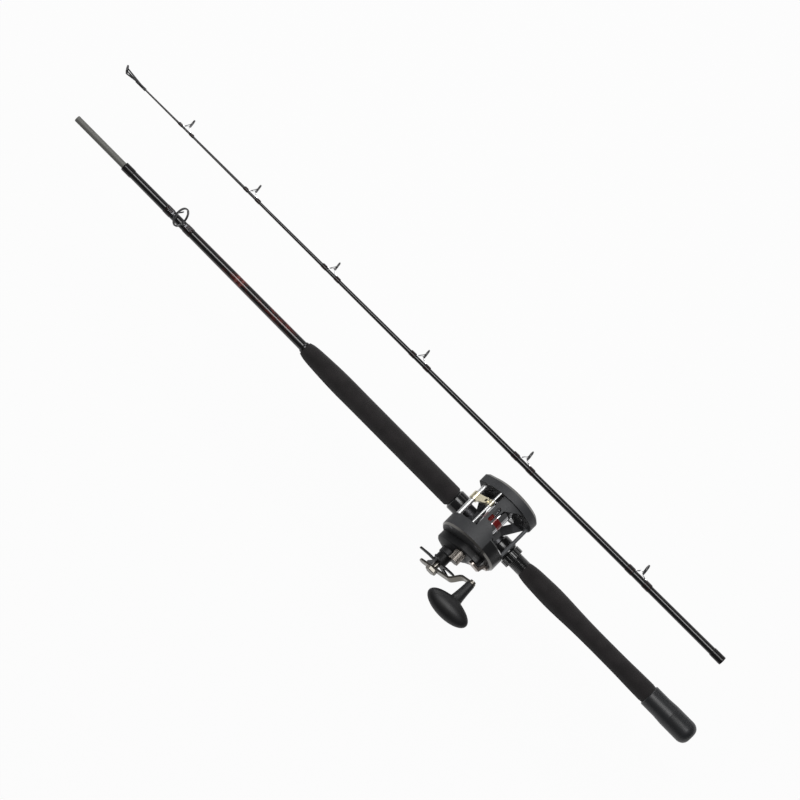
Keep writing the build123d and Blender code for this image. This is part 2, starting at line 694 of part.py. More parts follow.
def reel_frame():
    wall_y = FRAME_HALF + WALL
    frame = slab(Circle(FRAME_R) - Circle(SPOOL_HOLE_R), FRAME_HALF, wall_y)
    frame += slab(Circle(FRAME_R) - Circle(FRAME_R - RIM), wall_y - EMBED, HANDLE_RING_END)
    frame += slab(tail_outline() - Circle(SPOOL_HOLE_R), -wall_y, -FRAME_HALF)
    frame += slab(tail_outline() - tail_outline(RIM), -TAIL_RING_END, EMBED - wall_y)
    for x, z in screw_places(GEAR_SCREW_ANGLES):
        frame += rod_y(SCREW_POST_R, wall_y - EMBED, HANDLE_RING_END, x, z)
    for x, z in screw_places(TAIL_SCREW_ANGLES):
        frame += rod_y(SCREW_POST_R, -TAIL_RING_END, EMBED - wall_y, x, z)
    frame += top_bridge() + rod_y(REAR_BAR_R, -FRAME_HALF - EMBED, FRAME_HALF + EMBED, REAR_BAR_X, REAR_BAR_Z)
    frame += foot_bridge()
    frame -= rod_y(BUSH_R, -wall_y - EMBED, wall_y + EMBED, WORM_X, WORM_Z)
    seat = FRAME_HALF + SHIELD_SEAT
    frame -= rod_y(SHIELD_R, -seat, seat, WORM_X, WORM_Z)
    frame -= rod_y(GUIDE_BAR_R, -seat - SHIELD_SEAT, seat + SHIELD_SEAT, GUIDE_BAR_X, GUIDE_BAR_Z)
    depth = SCREW_HEAD + SCREW_DEPTH
    for x, z in screw_places(GEAR_SCREW_ANGLES):
        frame -= rod_y(SCREW_R, COVER_Y - depth, HANDLE_RING_END + EMBED, x, z)
    for x, z in screw_places(TAIL_SCREW_ANGLES):
        frame -= rod_y(SCREW_R, -TAIL_RING_END - EMBED, TAIL_PLATE_Y + depth, x, z)
    return frame


def top_bridge():
    """Curved bar over the spool, slotted, and flared to the rear where it meets the rings."""
    end = FRAME_HALF + EMBED
    rear = [(BRIDGE_FLARE, -end), (BRIDGE_REAR, -BRIDGE_FLAT_HALF), (BRIDGE_REAR, BRIDGE_FLAT_HALF),
            (BRIDGE_FLARE, end)]
    plan = make_face(Polyline((BRIDGE_FRONT, end), (BRIDGE_FRONT, -end), *rear, close=True))
    plan -= Pos(BRIDGE_SLOT_X, 0) * Rot(0, 0, QUARTER) * SlotOverall(BRIDGE_SLOT_LENGTH, BRIDGE_SLOT_WIDTH)
    shell = slab(Circle(BRIDGE_R) - Circle(BRIDGE_R - BRIDGE_THICK), -end, end)
    return shell & extrude(plan, BRIDGE_R + EMBED)


def foot_bridge():
    """Pad over the foot, held to both rings by rising arms."""
    half = BASE_THICK / 2
    pad = Pos(0, 0, BASE_TOP - half) * Box(BASE_LENGTH, BASE_WIDTH, BASE_THICK)
    middle_r = (SPOOL_HOLE_R + FRAME_R) / 2
    reach_x, drop = polar(middle_r, -BASE_ARM_ANGLE)
    reach_y = FRAME_HALF + EMBED
    room = block(-FRAME_R, FRAME_R, -reach_y, reach_y, BASE_TOP - BASE_THICK, 0)
    for side_x in (-1, 1):
        for side_y in (-1, 1):
            start = Vector(side_x * BASE_ARM_X, side_y * BASE_ARM_Y, BASE_TOP - half)
            along = Vector(side_x * reach_x, side_y * reach_y, drop) - start
            plane = Plane(origin=start, x_dir=(along.Y, -along.X, 0), z_dir=along)
            bar = plane * extrude(Rectangle(BASE_ARM_WIDTH, BASE_ARM_THICK), along.length + BASE_ARM_WIDTH)
            pad += bar & room
    for x, y in foot_screw_places():
        pad -= Pos(x, y, BASE_TOP - BASE_THICK / 2) * Cylinder(FOOT_SCREW_R, BASE_THICK + 2 * EMBED)
        pad -= Pos(x, y, BASE_TOP) * Cylinder(FOOT_SCREW_HEAD_R, 2 * FOOT_SCREW_HEAD)
    return pad


def foot_screw_places():
    return [(side_x * FOOT_SCREW_X, side_y * FOOT_SCREW_Y) for side_x in (-1, 1) for side_y in (-1, 1)]


def reel_foot():
    """Curved foot on the seat, with a flat pad under the frame."""
    half = FOOT_PAD_LENGTH / 2
    pad = block(REEL_X - half, REEL_X + half, -FOOT_WIDTH / 2, FOOT_WIDTH / 2, 0, FOOT_PAD_TOP)
    low = REEL_X - half - EMBED
    high = REEL_X + half + EMBED
    seat = lathe_x((low, 0), (low, SEAT_R), (high, SEAT_R), (high, 0))
    foot = foot_blade(FOOT_X0, FOOT_X1) + (pad - seat)
    for x, y in foot_screw_places():
        foot -= Pos(REEL_X + x, y, FOOT_PAD_TOP) * Cylinder(FOOT_SCREW_R, 2 * FOOT_SCREW_DEPTH)
    return foot


def foot_screws():
    """Screws through the frame's pad into the foot."""
    top = BASE_TOP + REEL_Z
    low = FOOT_PAD_TOP - FOOT_SCREW_DEPTH
    neck = top - FOOT_SCREW_HEAD
    head = Pos(0, 0, neck + FOOT_SCREW_HEAD / 2) * Cylinder(FOOT_SCREW_HEAD_R, FOOT_SCREW_HEAD)
    screw = head + Pos(0, 0, (low + neck) / 2) * Cylinder(FOOT_SCREW_R, neck - low)
    return [Pos(REEL_X + x, y, 0) * screw for x, y in foot_screw_places()]


def tail_plate():
    """Domed cover of the tail side, with the bearing's boss and the clicker's slot."""
    outline = tail_outline()
    plate = slab(outline, TAIL_PLATE_Y, -TAIL_RING_END)
    plate = chamfer(plate.faces().sort_by(Axis.Y)[0].outer_wire().edges(), TAIL_BEVEL)
    plate += lathe_y((TAIL_PLATE_Y + EMBED, 0), (TAIL_PLATE_Y + EMBED, TAIL_BOSS_R + EMBED),
                     (TAIL_PLATE_Y, TAIL_BOSS_R + EMBED), (TAIL_BOSS_Y, TAIL_BOSS_R - EMBED),
                     (TAIL_BOSS_Y, 0))
    plate -= rod_y(BEARING_R, TAIL_BEARING_Y, -TAIL_RING_END + EMBED)
    plate -= rod_y(IDLER_PIN_R, TAIL_PLATE_Y + EMBED, -TAIL_RING_END + EMBED, IDLER_X, IDLER_Z)
    slot = SlotOverall(CLICK_TRAVEL + CLICK_STEM + 2 * PLAY, CLICK_STEM + 2 * PLAY)
    place = Rot(0, 0, CLICK_ANGLE) * Pos(CLICK_DISTANCE - CLICK_TRAVEL / 2, 0)
    plate -= slab(place * slot, TAIL_PLATE_Y - EMBED, -TAIL_RING_END + EMBED)
    for x, z in screw_places(TAIL_SCREW_ANGLES):
        plate -= rod_y(SCREW_R, TAIL_PLATE_Y - EMBED, -TAIL_RING_END + EMBED, x, z)
        plate -= rod_y(SCREW_HEAD_R, TAIL_PLATE_Y - EMBED, TAIL_PLATE_Y + SCREW_HEAD, x, z)
    return plate


def gear_plate():
    """Plate on the handle side, which carries the gears."""
    outline = hull((FRAME_R, 0, 0), (COVER_R, HANDLE_X, HANDLE_Z))
    plate = slab(outline, GEAR_PLATE_Y, COVER_Y)
    plate = chamfer(plate.faces().sort_by(Axis.Y)[-1].outer_wire().edges(), PLATE_BEVEL)
    plate -= rod_y(BEARING_R, GEAR_PLATE_Y - EMBED, BEARING_Y)
    plate -= rod_y(PINION_FLANGE_R + PLAY, GEAR_PLATE_Y, COVER_Y + EMBED)
    plate -= rod_y(SLEEVE_R + RUN, GEAR_PLATE_Y - EMBED, COVER_Y + EMBED, HANDLE_X, HANDLE_Z)
    for x, z in yoke_posts():
        plate -= rod_y(YOKE_POST_R, GEAR_PLATE_Y - EMBED, COVER_Y + EMBED, x, z)
    for x, z in screw_places(GEAR_SCREW_ANGLES):
        plate -= rod_y(SCREW_R, GEAR_PLATE_Y - EMBED, COVER_Y + EMBED, x, z)
        plate -= rod_y(SCREW_HEAD_R, COVER_Y - SCREW_HEAD, COVER_Y + EMBED, x, z)
    return plate


def yoke_point(across, towards):
    """Point in (x, z) from the spool axis: across the line to the handle axis, and towards that axis."""
    line = (cos(HANDLE_AXIS_ANGLE), sin(HANDLE_AXIS_ANGLE))
    return (towards * line[0] - across * line[1], towards * line[1] + across * line[0])


def yoke_posts():
    return [yoke_point(side * YOKE_POST_T, YOKE_POST_N) for side in (-1, 1)]


def bridge_plate():
    """Metal plate inside the gear plate, with the posts that the yoke slides on."""
    y0 = GEAR_PLATE_Y - INNER_PLATE
    outline = hull((INNER_PLATE_R, 0, 0), (INNER_PLATE_R, HANDLE_X, HANDLE_Z))
    outline -= Circle(SHAFT_R + PLAY) + disc(SLEEVE_R + RUN, HANDLE_X, HANDLE_Z)
    plate = slab(outline, y0, GEAR_PLATE_Y)
    for x, z in yoke_posts():
        plate += rod_y(YOKE_POST_R, GEAR_PLATE_Y - EMBED, STEP_Y - COVER_WALL, x, z)
    return plate


def cover_step(inset=0.0):
    """Outline of the cover's lower step, over the pinion and the lever's shaft."""
    return hull((COVER_R - inset, HANDLE_X, HANDLE_Z), (COVER_SPOOL_R - inset, 0, 0),
                (COVER_LEVER_R - inset, LEVER_X, LEVER_Z))


def gear_cover():
    """Domed housing over the main gear, with bosses for the one-way clutch and the cast control."""
    cover = slab(cover_step(), COVER_Y, STEP_Y)
    cover = chamfer(cover.faces().sort_by(Axis.Y)[-1].outer_wire().edges(), COVER_WALL / 2)
    dome_y = COVER_Y + COVER_DOME
    dome = lathe_y((COVER_Y, 0), (COVER_Y, COVER_R), (COVER_Y + COVER_SHOULDER, COVER_R),
                   (COVER_Y + COVER_SHOULDER + COVER_EDGE, COVER_SHOULDER_R), (dome_y, COVER_DOME_R),
                   (dome_y, COVER_BOSS_R), (BOSS_Y - EMBED, COVER_BOSS_R), (BOSS_Y, COVER_BOSS_R - EMBED),
                   (BOSS_Y, 0))
    cover += Pos(HANDLE_X, 0, HANDLE_Z) * dome
    cover -= rod_y(CAST_CAP_R + CAST_BITE_GAP, STEP_Y, BOSS_Y, 0, 0)
    cover += rod_y(CAST_BOSS_R, STEP_Y - EMBED, CAST_Y)
    cavity = slab(cover_step(COVER_WALL), COVER_Y - EMBED, STEP_Y - COVER_WALL)
    cavity += rod_y(PINION_ROOM_R, COVER_Y, PINION_ROOM_Y)
    cavity += rod_y(SHAFT_TIP_R + RUN, COVER_Y, CAST_Y + EMBED)
    drag_end = DRAG_Y + DRAG_WASHERS * DRAG_WASHER + GEAR_GAP
    cavity += rod_y(DRAG_R + GEAR_GAP * 2, COVER_Y, drag_end, HANDLE_X, HANDLE_Z)
    cavity += rod_y(SLEEVE_R + GEAR_GAP, COVER_Y, BOSS_Y + EMBED, HANDLE_X, HANDLE_Z)
    cavity += rod_y(CLUTCH_RING_R, CLUTCH_RING_Y, BOSS_Y + EMBED, HANDLE_X, HANDLE_Z)
    cavity += rod_y(LEVER_SHAFT_R + RUN, COVER_Y, STEP_Y + EMBED, LEVER_X, LEVER_Z)
    return cover - cavity


def plate_screws():
    """Countersunk screws of both plates."""
    head_y = COVER_Y - SCREW_HEAD
    tail_y = TAIL_PLATE_Y + SCREW_HEAD
    gear_side = rod_y(SCREW_HEAD_R, head_y, COVER_Y) + rod_y(SCREW_R, head_y - SCREW_DEPTH, head_y)
    tail_side = rod_y(SCREW_HEAD_R, TAIL_PLATE_Y, tail_y) + rod_y(SCREW_R, tail_y, tail_y + SCREW_DEPTH)
    screws = [Pos(x, 0, z) * gear_side for x, z in screw_places(GEAR_SCREW_ANGLES)]
    return screws + [Pos(x, 0, z) * tail_side for x, z in screw_places(TAIL_SCREW_ANGLES)]


def spool_bearings():
    ring = Circle(BEARING_R) - Circle(SHAFT_R + RUN)
    return [slab(ring, GEAR_PLATE_Y, BEARING_Y), slab(ring, TAIL_BEARING_Y, TAIL_BEARING_Y + BEARING_WIDTH)]


def one_way_clutch():
    return slab(disc(CLUTCH_RING_R, HANDLE_X, HANDLE_Z) - disc(SLEEVE_R + RUN, HANDLE_X, HANDLE_Z),
                CLUTCH_RING_Y, BOSS_Y)


def worm_shield():
    """Tube round the worm, slotted below for the pawl."""
    end = FRAME_HALF + SHIELD_SEAT
    tube = slab(disc(SHIELD_R, WORM_X, WORM_Z) - disc(SHIELD_BORE_R, WORM_X, WORM_Z), -end, end)
    half = SHIELD_SLOT / 2
    reach = FRAME_HALF - SHIELD_SLOT
    return tube - block(WORM_X - half, WORM_X + half, -reach, reach, WORM_Z - SHIELD_R - EMBED, WORM_Z)


def worm_bushes():
    ring = disc(BUSH_R, WORM_X, WORM_Z) - disc(WORM_JOURNAL_R + RUN, WORM_X, WORM_Z)
    inner = FRAME_HALF + SHIELD_SEAT
    return [slab(ring, inner, FRAME_HALF + WALL), slab(ring, -FRAME_HALF - WALL, -inner)]


# Moving pieces of the reel

def spool():
    """Hollow arbor on a hub and a web, with two dished flanges pressed on."""
    inner = SPOOL_END - FLANGE_THICK
    root = inner - FLANGE_DISH
    bore_r = ARBOR_R - SPOOL_WALL
    web = SPOOL_WEB / 2
    arbor = slab(Circle(ARBOR_R) - Circle(bore_r), -root, root)
    arbor += slab(Circle(bore_r + EMBED) - Circle(SHAFT_R), -web, web)
    arbor += slab(Circle(SPOOL_HUB_R) - Circle(SHAFT_R), -SPOOL_END, SPOOL_END)
    flange = lathe_y((root, bore_r), (root, ARBOR_R), (inner, FLANGE_R), (SPOOL_END, FLANGE_R),
                     (SPOOL_END, bore_r))
    return [arbor, flange, mirror(flange, Plane.XZ)]


def spool_shaft():
    return rod_y(SHAFT_R, TAIL_BEARING_Y + RUN, PINION_Y) + rod_y(SHAFT_TIP_R, PINION_Y, CAST_Y)


def click_ratchet():
    points = []
    for tooth in range(RATCHET_TEETH):
        angle = 2 * pi * tooth / RATCHET_TEETH
        points += [polar(RATCHET_R, angle), polar(RATCHET_ROOT_R, angle + pi / RATCHET_TEETH)]
    return slab(make_face(Polyline(*points, close=True)) - Circle(SHAFT_R), RATCHET_Y0, RATCHET_Y1)


def pinion_gear():
    """Pinion with a necked flange for the yoke."""
    phase = meshed_phase(0, MAIN_TEETH, PINION_TEETH, HANDLE_AXIS_ANGLE + pi)
    bore_r = SHAFT_TIP_R + RUN
    teeth = gear(PINION_TEETH, DRIVE_MODULE, phase, PINION_TEETH_Y, PINION_TEETH_Y + PINION_LENGTH, bore_r)
    neck = slab(Circle(PINION_NECK_R) - Circle(bore_r), PINION_Y + RUN, PINION_TEETH_Y)
    return teeth + neck + slab(Circle(PINION_FLANGE_R) - Circle(bore_r), PINION_Y + RUN, PINION_NECK_Y)


def clutch_yoke():
    """Fork in the pinion's neck, sliding on two posts."""
    y0 = PINION_NECK_Y + (PINION_NECK - YOKE_THICK) / 2

    def area(t0, t1, n0, n1):
        corners = [yoke_point(t, n) for t, n in ((t0, n0), (t1, n0), (t1, n1), (t0, n1))]
        return make_face(Polyline(*corners, close=True))

    plan = area(-YOKE_HALF_WIDTH, YOKE_HALF_WIDTH, -YOKE_BACK, -YOKE_BACK / 3)
    plan += area(-YOKE_FORK_HALF, YOKE_FORK_HALF, -YOKE_BACK, YOKE_FORK_REACH)
    slot = PINION_NECK_R + RUN
    plan -= area(-slot, slot, 0, YOKE_FORK_REACH + EMBED) + Circle(slot)
    for x, z in yoke_posts():
        plan -= disc(YOKE_POST_R + RUN, x, z)
    return slab(plan, y0, y0 + YOKE_THICK)


def drag_washers():
    ring = disc(DRAG_R, HANDLE_X, HANDLE_Z) - disc(SLEEVE_R, HANDLE_X, HANDLE_Z)
    washer = slab(ring, DRAG_Y, DRAG_Y + DRAG_WASHER)
    return [Pos(0, place * DRAG_WASHER, 0) * washer for place in range(DRAG_WASHERS)]


def gear_sleeve():
    return rod_y(SLEEVE_R, GEAR_PLATE_Y - INNER_PLATE, ARM_Y + ARM_THICK + NUT_BORE, HANDLE_X, HANDLE_Z)


def star_wheel():
    """Drag nut with five bent arms, about the handle axis."""
    hub = slab(Circle(STAR_HUB_R) - Circle(SLEEVE_R + RUN), STAR_Y, STAR_ARM_Y + STAR_THICK)
    low = STAR_ARM_Y
    side = make_face(Polyline((SLEEVE_R + STAR_THICK, low), (STAR_BEND_R, low), (STAR_R, low + STAR_BEND),
                              (STAR_R, low + STAR_BEND + STAR_THICK), (STAR_BEND_R, low + STAR_THICK),
                              (SLEEVE_R + STAR_THICK, low + STAR_THICK), close=True))
    bent = extrude(side, STAR_ARM_WIDTH, both=True)
    half = STAR_ARM_WIDTH / 2
    tip = STAR_TIP_WIDTH / 2
    end = STAR_R - tip
    plan = make_face(Polyline((SLEEVE_R, -half), (end, -tip), (end, tip), (SLEEVE_R, half), close=True))
    plan += disc(tip, end)
    arm = bent & slab(plan, low - EMBED, low + STAR_BEND + 2 * STAR_THICK)
    arms = [Rot(0, 4 * QUARTER * turn / STAR_ARMS, 0) * arm for turn in range(STAR_ARMS)]
    wheel = hub
    for piece in arms:
        wheel += piece
    return Pos(HANDLE_X, 0, HANDLE_Z) * wheel


def handle_arm():
    """Flat crank, stepped inwards between its hub and its knob, about the handle axis."""
    end = ARM_RADIUS + ARM_END_WIDTH
    bend = ARM_STEP_START + ARM_STEP_RUN
    back = -ARM_COUNTER - ARM_WIDTH
    half = ARM_THICK / 2
    outer = [(back, ARM_Y + ARM_THICK), (ARM_STEP_START + half, ARM_Y + ARM_THICK),
             (bend + half, ARM_LOW_Y + ARM_THICK), (end, ARM_LOW_Y + ARM_THICK)]
    inner = [(end, ARM_LOW_Y), (bend - half, ARM_LOW_Y), (ARM_STEP_START - half, ARM_Y), (back, ARM_Y)]
    bent = extrude(make_face(Polyline(*outer, *inner, close=True)), ARM_WIDTH, both=True)
    tip = ARM_END_WIDTH / 2
    middle = (ARM_WIDTH / 2, 0, 0)
    plan = hull(middle, (tip, tip - ARM_COUNTER, 0)) + hull(middle, (tip, ARM_RADIUS, 0))
    plan -= Circle(SLEEVE_R)
    plan -= disc(SPINDLE_R, ARM_RADIUS)
    arm = bent & slab(plan, ARM_LOW_Y - EMBED, ARM_Y + ARM_THICK + EMBED)
    return Pos(HANDLE_X, 0, HANDLE_Z) * Rot(0, -CRANK_ANGLE, 0) * arm


def knob_place():
    """Place of the knob's axis in (x, z)."""
    x, z = polar(ARM_RADIUS, radians(CRANK_ANGLE))
    return (HANDLE_X + x, HANDLE_Z + z)


def handle_nut():
    y0 = ARM_Y + ARM_THICK
    nut = slab(RegularPolygon(NUT_FLATS / 2, 6, major_radius=False), y0, y0 + NUT_HEIGHT)
    nut = chamfer(nut.faces().sort_by(Axis.Y)[-1].edges(), NUT_CHAMFER_SHARE * NUT_HEIGHT)
    nut -= rod_y(SLEEVE_R, y0 - EMBED, y0 + NUT_BORE)
    return Pos(HANDLE_X, 0, HANDLE_Z) * nut


def knob_spindle():
    x, z = knob_place()
    return (rod_y(SPINDLE_R, ARM_LOW_Y, SPINDLE_END, x, z)
            + rod_y(SPINDLE_HEAD_R, ARM_LOW_Y - SPINDLE_HEAD, ARM_LOW_Y, x, z))


def handle_knob():
    """Oval knob across the end of a tapered neck."""
    x, z = knob_place()
    neck_end = KNOB_Y + KNOB_NECK
    core = KNOB_CENTRE_Y - KNOB_DEPTH / 6
    neck = Spline((KNOB_NECK_R, KNOB_Y), (KNOB_WAIST_R, KNOB_Y + KNOB_NECK / 2), (KNOB_NECK_END_R, neck_end))
    rest = Polyline((KNOB_NECK_END_R, neck_end), (KNOB_NECK_END_R, core), (0, core), (0, KNOB_Y),
                    (KNOB_NECK_R, KNOB_Y))
    body = Pos(0, KNOB_CENTRE_Y, 0) * scale(Sphere(1), (KNOB_LENGTH / 2, KNOB_DEPTH / 2, KNOB_HEIGHT / 2))
    knob = lathe(Axis.Y, neck, rest) + body
    knob -= rod_y(SPINDLE_R + RUN, KNOB_Y - EMBED, SPINDLE_END + PLAY)
    return Pos(x, 0, z) * knob


def worm_shaft():
    inner = FRAME_HALF + SHIELD_SEAT - PLAY
    worm = rod_y(WORM_R, -inner, inner, WORM_X, WORM_Z)
    return worm + rod_y(WORM_JOURNAL_R, -FRAME_HALF - WALL - WORM_END, FRAME_HALF + WALL, WORM_X, WORM_Z)


def line_guide():
    """Carriage on the worm shield and the guide bar, with an eye for the line."""
    y0 = CARRIAGE_Y - CARRIAGE_HALF
    y1 = CARRIAGE_Y + CARRIAGE_HALF
    body = rod_y(CARRIAGE_R, y0, y1, WORM_X, WORM_Z)
    top = CARRIAGE_TOP_HALF
    body += rod_y(CARRIAGE_TOP_R, CARRIAGE_Y - top, CARRIAGE_Y + top, GUIDE_BAR_X, GUIDE_BAR_Z)
    run_x = GUIDE_BAR_X - WORM_X
    run_z = GUIDE_BAR_Z - WORM_Z
    length = hypot(run_x, run_z)
    along = Plane(origin=(WORM_X, CARRIAGE_Y, WORM_Z), x_dir=(run_x, 0, run_z), z_dir=(-run_z, 0, run_x))
    plan = make_face(Polyline((0, -CARRIAGE_HALF), (length, -top), (length, top), (0, CARRIAGE_HALF),
                              close=True))
    eye = EYE_SHARE * length
    web = extrude(plan, CARRIAGE_THICK / 2, both=True)
    web += Pos(eye, 0, 0) * Cylinder(EYE_RIM_R, EYE_RIM)
    web -= Pos(eye, 0, 0) * Cylinder(EYE_R, EYE_RIM + EMBED)
    body += along * web
    body += Pos(WORM_X, CARRIAGE_Y, PAWL_CAP_Z / 2 + WORM_Z / 2) * Cylinder(PAWL_BOSS_R, WORM_Z - PAWL_CAP_Z)
    body -= rod_y(SHIELD_R + RUN, y0 - EMBED, y1 + EMBED, WORM_X, WORM_Z)
    reach = top + EMBED
    body -= rod_y(GUIDE_BAR_R + RUN, CARRIAGE_Y - reach, CARRIAGE_Y + reach, GUIDE_BAR_X, GUIDE_BAR_Z)
    return body - Pos(WORM_X, CARRIAGE_Y, PAWL_CAP_Z) * Cylinder(PAWL_R, 2 * (WORM_Z - PAWL_CAP_Z))


def level_wind_pawl():
    top = WORM_Z - WORM_R - PAWL_GAP
    return Pos(WORM_X, CARRIAGE_Y, (top + PAWL_CAP_Z) / 2) * Cylinder(PAWL_R, top - PAWL_CAP_Z)


def pawl_cap():
    return Pos(WORM_X, CARRIAGE_Y, PAWL_CAP_Z - PAWL_CAP / 2) * Cylinder(PAWL_BOSS_R, PAWL_CAP)


def free_spool_lever():
    """Thumb lever, bent from its boss on the cover down to the plate, with its shaft and cam."""
    y0 = STEP_Y + PLAY
    y1 = y0 + LEVER_THICK
    low = COVER_Y + LEVER_PAD_GAP
    run_x = LEVER_PAD_X - LEVER_X
    run_z = LEVER_PAD_Z - LEVER_Z
    length = hypot(run_x, run_z)
    end = length + LEVER_PAD_R
    inner = [(-LEVER_BOSS_R, y0), (LEVER_BEND, y0), (LEVER_BEND + LEVER_BEND_RUN, low), (end, low)]
    outer = [(end, low + LEVER_THICK), (LEVER_BEND + LEVER_BEND_RUN + LEVER_THICK, low + LEVER_THICK),
             (LEVER_BEND + LEVER_THICK, y1), (-LEVER_BOSS_R, y1)]
    bent = extrude(make_face(Polyline(*inner, *outer, close=True)), LEVER_BOSS_R + EMBED, both=True)
    arm = bent & slab(hull((LEVER_BOSS_R, 0, 0), (LEVER_PAD_R, length, 0)), low - EMBED, y1 + EMBED)
    lever = Pos(LEVER_X, 0, LEVER_Z) * Rot(0, -degrees(atan2(run_z, run_x)), 0) * arm
    cam_y = STEP_Y - COVER_WALL - PLAY
    lever += rod_y(LEVER_SHAFT_R, cam_y - EMBED, y1, LEVER_X, LEVER_Z)
    return lever + rod_y(LEVER_CAM_R, cam_y - LEVER_CAM, cam_y, LEVER_X, LEVER_Z)


def clicker_button():
    """Button, stem and tongue of the clicker, drawn away from the ratchet."""
    turn = Rot(0, 0, CLICK_ANGLE)
    place = turn * Pos(CLICK_DISTANCE, 0)
    half = CLICK_STEM / 2
    button_y = TAIL_PLATE_Y - PLAY
    button = slab(place * Circle(CLICK_BUTTON_R), button_y - CLICK_BUTTON, button_y)
    button += slab(place * Circle(half), button_y - EMBED, RATCHET_Y1)
    tip = RATCHET_R + CLICK_TRAVEL + PLAY
    tongue = make_face(Polyline((tip, 0), (tip + half, -half), (CLICK_DISTANCE, -half),
                                (CLICK_DISTANCE, half), (tip + half, half), close=True))
    return button + slab(turn * tongue, RATCHET_Y0, RATCHET_Y1)


def cast_control_cap():
    """Knurled cap over the cast control's boss."""
    end = CAST_Y + RUN + CAST_CAP_END
    flutes = PolarLocations(CAST_CAP_R + CAST_CAP_FLUTE_R / 3, CAST_CAP_FLUTES) * Circle(CAST_CAP_FLUTE_R)
    cap = slab(Circle(CAST_CAP_R) - flutes, STEP_Y + PLAY, end)
    return cap - rod_y(CAST_BOSS_R + RUN, STEP_Y, CAST_Y + RUN)


def group(pieces):
    """Several solids in one node."""
    return Compound([solid for piece in pieces for solid in piece.solids()])


def all_parts():
    butt_frame, butt_ring, butt_wraps = butt_guide()
    parts = {
        "butt_blank": butt_blank(), "ferrule_spigot": ferrule_spigot(), "butt_cap": butt_cap(),
        "rear_grip": rear_grip(), "fore_grip": fore_grip(), "winding_check": winding_check(),
        "reel_seat": reel_seat(), "sliding_hood": sliding_hood(), "lock_nut": lock_nut(),
        "butt_guide_frame": butt_frame, "butt_guide_ring": butt_ring, "butt_wraps": group(butt_wraps),
        "reel_foot": reel_foot(), "foot_screws": group(foot_screws()),
    }
    idler_phase = meshed_phase(0, WIND_DRIVE_TEETH, IDLER_TEETH, WORM_ANGLE)
    worm_phase = meshed_phase(idler_phase, IDLER_TEETH, WORM_TEETH, WORM_ANGLE)
    wind = (WIND_GEAR_Y0, WIND_GEAR_Y1)
    reel = {
        "reel_frame": reel_frame(), "tail_plate": tail_plate(), "gear_plate": gear_plate(),
        "bridge_plate": bridge_plate(), "gear_cover": gear_cover(), "plate_screws": group(plate_screws()),
        "worm_shield": worm_shield(), "worm_bushes": group(worm_bushes()),
        "guide_bar": rod_y(GUIDE_BAR_R, -FRAME_HALF - 2 * SHIELD_SEAT, FRAME_HALF + 2 * SHIELD_SEAT,
                           GUIDE_BAR_X, GUIDE_BAR_Z),
        "spool_bearings": group(spool_bearings()), "one_way_clutch": one_way_clutch(),
        "idler_pin": rod_y(IDLER_PIN_R, TAIL_PLATE_Y + EMBED, WIND_GEAR_Y1 + GEAR_GAP, IDLER_X, IDLER_Z),
        "spool": group(spool()), "spool_shaft": spool_shaft(), "click_ratchet": click_ratchet(),
        "level_wind_drive_gear": gear(WIND_DRIVE_TEETH, WIND_MODULE, 0, *wind, SHAFT_R),
        "idler_gear": gear(IDLER_TEETH, WIND_MODULE, idler_phase, *wind, IDLER_PIN_R + RUN, IDLER_X, IDLER_Z),
        "worm_gear": gear(WORM_TEETH, WIND_MODULE, worm_phase, *wind, WORM_JOURNAL_R, WORM_X, WORM_Z),
        "worm_shaft": worm_shaft(), "pinion_gear": pinion_gear(), "clutch_yoke": clutch_yoke(),
        "gear_sleeve": gear_sleeve(), "drag_washers": group(drag_washers()),
        "main_gear": gear(MAIN_TEETH, DRIVE_MODULE, 0, MAIN_GEAR_Y, DRAG_Y, SLEEVE_R, HANDLE_X, HANDLE_Z),
        "star_wheel": star_wheel(), "handle_arm": handle_arm(), "handle_nut": handle_nut(),
        "knob_spindle": knob_spindle(), "handle_knob": handle_knob(), "line_guide": line_guide(),
        "level_wind_pawl": level_wind_pawl(), "pawl_cap": pawl_cap(), "free_spool_lever": free_spool_lever(),
        "clicker_button": clicker_button(), "cast_control_cap": cast_control_cap(),
    }
    parts.update({name: REEL * piece for name, piece in reel.items()})
    top_frame, top_ring = tip_top()
    rings = [top_ring]
    wraps = [wrap(0, SOCKET_WRAP_LENGTH, tip_radius, SOCKET_WRAP)]
    tip = {"tip_blank": tip_blank(), "tip_top_frame": top_frame}
    wire = (GUIDE_WIRE_R, GUIDE_FOOT_WIDTH, GUIDE_FOOT)
    for number, (share, sizes) in enumerate(zip(TIP_GUIDE_SHARES, TIP_GUIDES), 1):
        frame, ring, bindings = guide_parts(share * TIP_LENGTH, *sizes, tip_radius, *wire)
        tip[f"guide_{number}_frame"] = frame
        rings.append(ring)
        wraps += bindings
    tip["tip_guide_rings"] = group(rings)
    tip["tip_wraps"] = group(wraps)
    parts.update({name: TIP * piece for name, piece in tip.items()})
    return parts


os.makedirs("parts", exist_ok=True)
for name, shape in all_parts().items():
    export_step(shape, f"parts/{name}.step")
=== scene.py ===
"""Looks of a two-piece boat fishing rod and its star-drag, level-wind reel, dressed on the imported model.

Metres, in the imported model's frame: X along the butt section, Y towards the reel's handle and Z up on the
reel's side.
"""

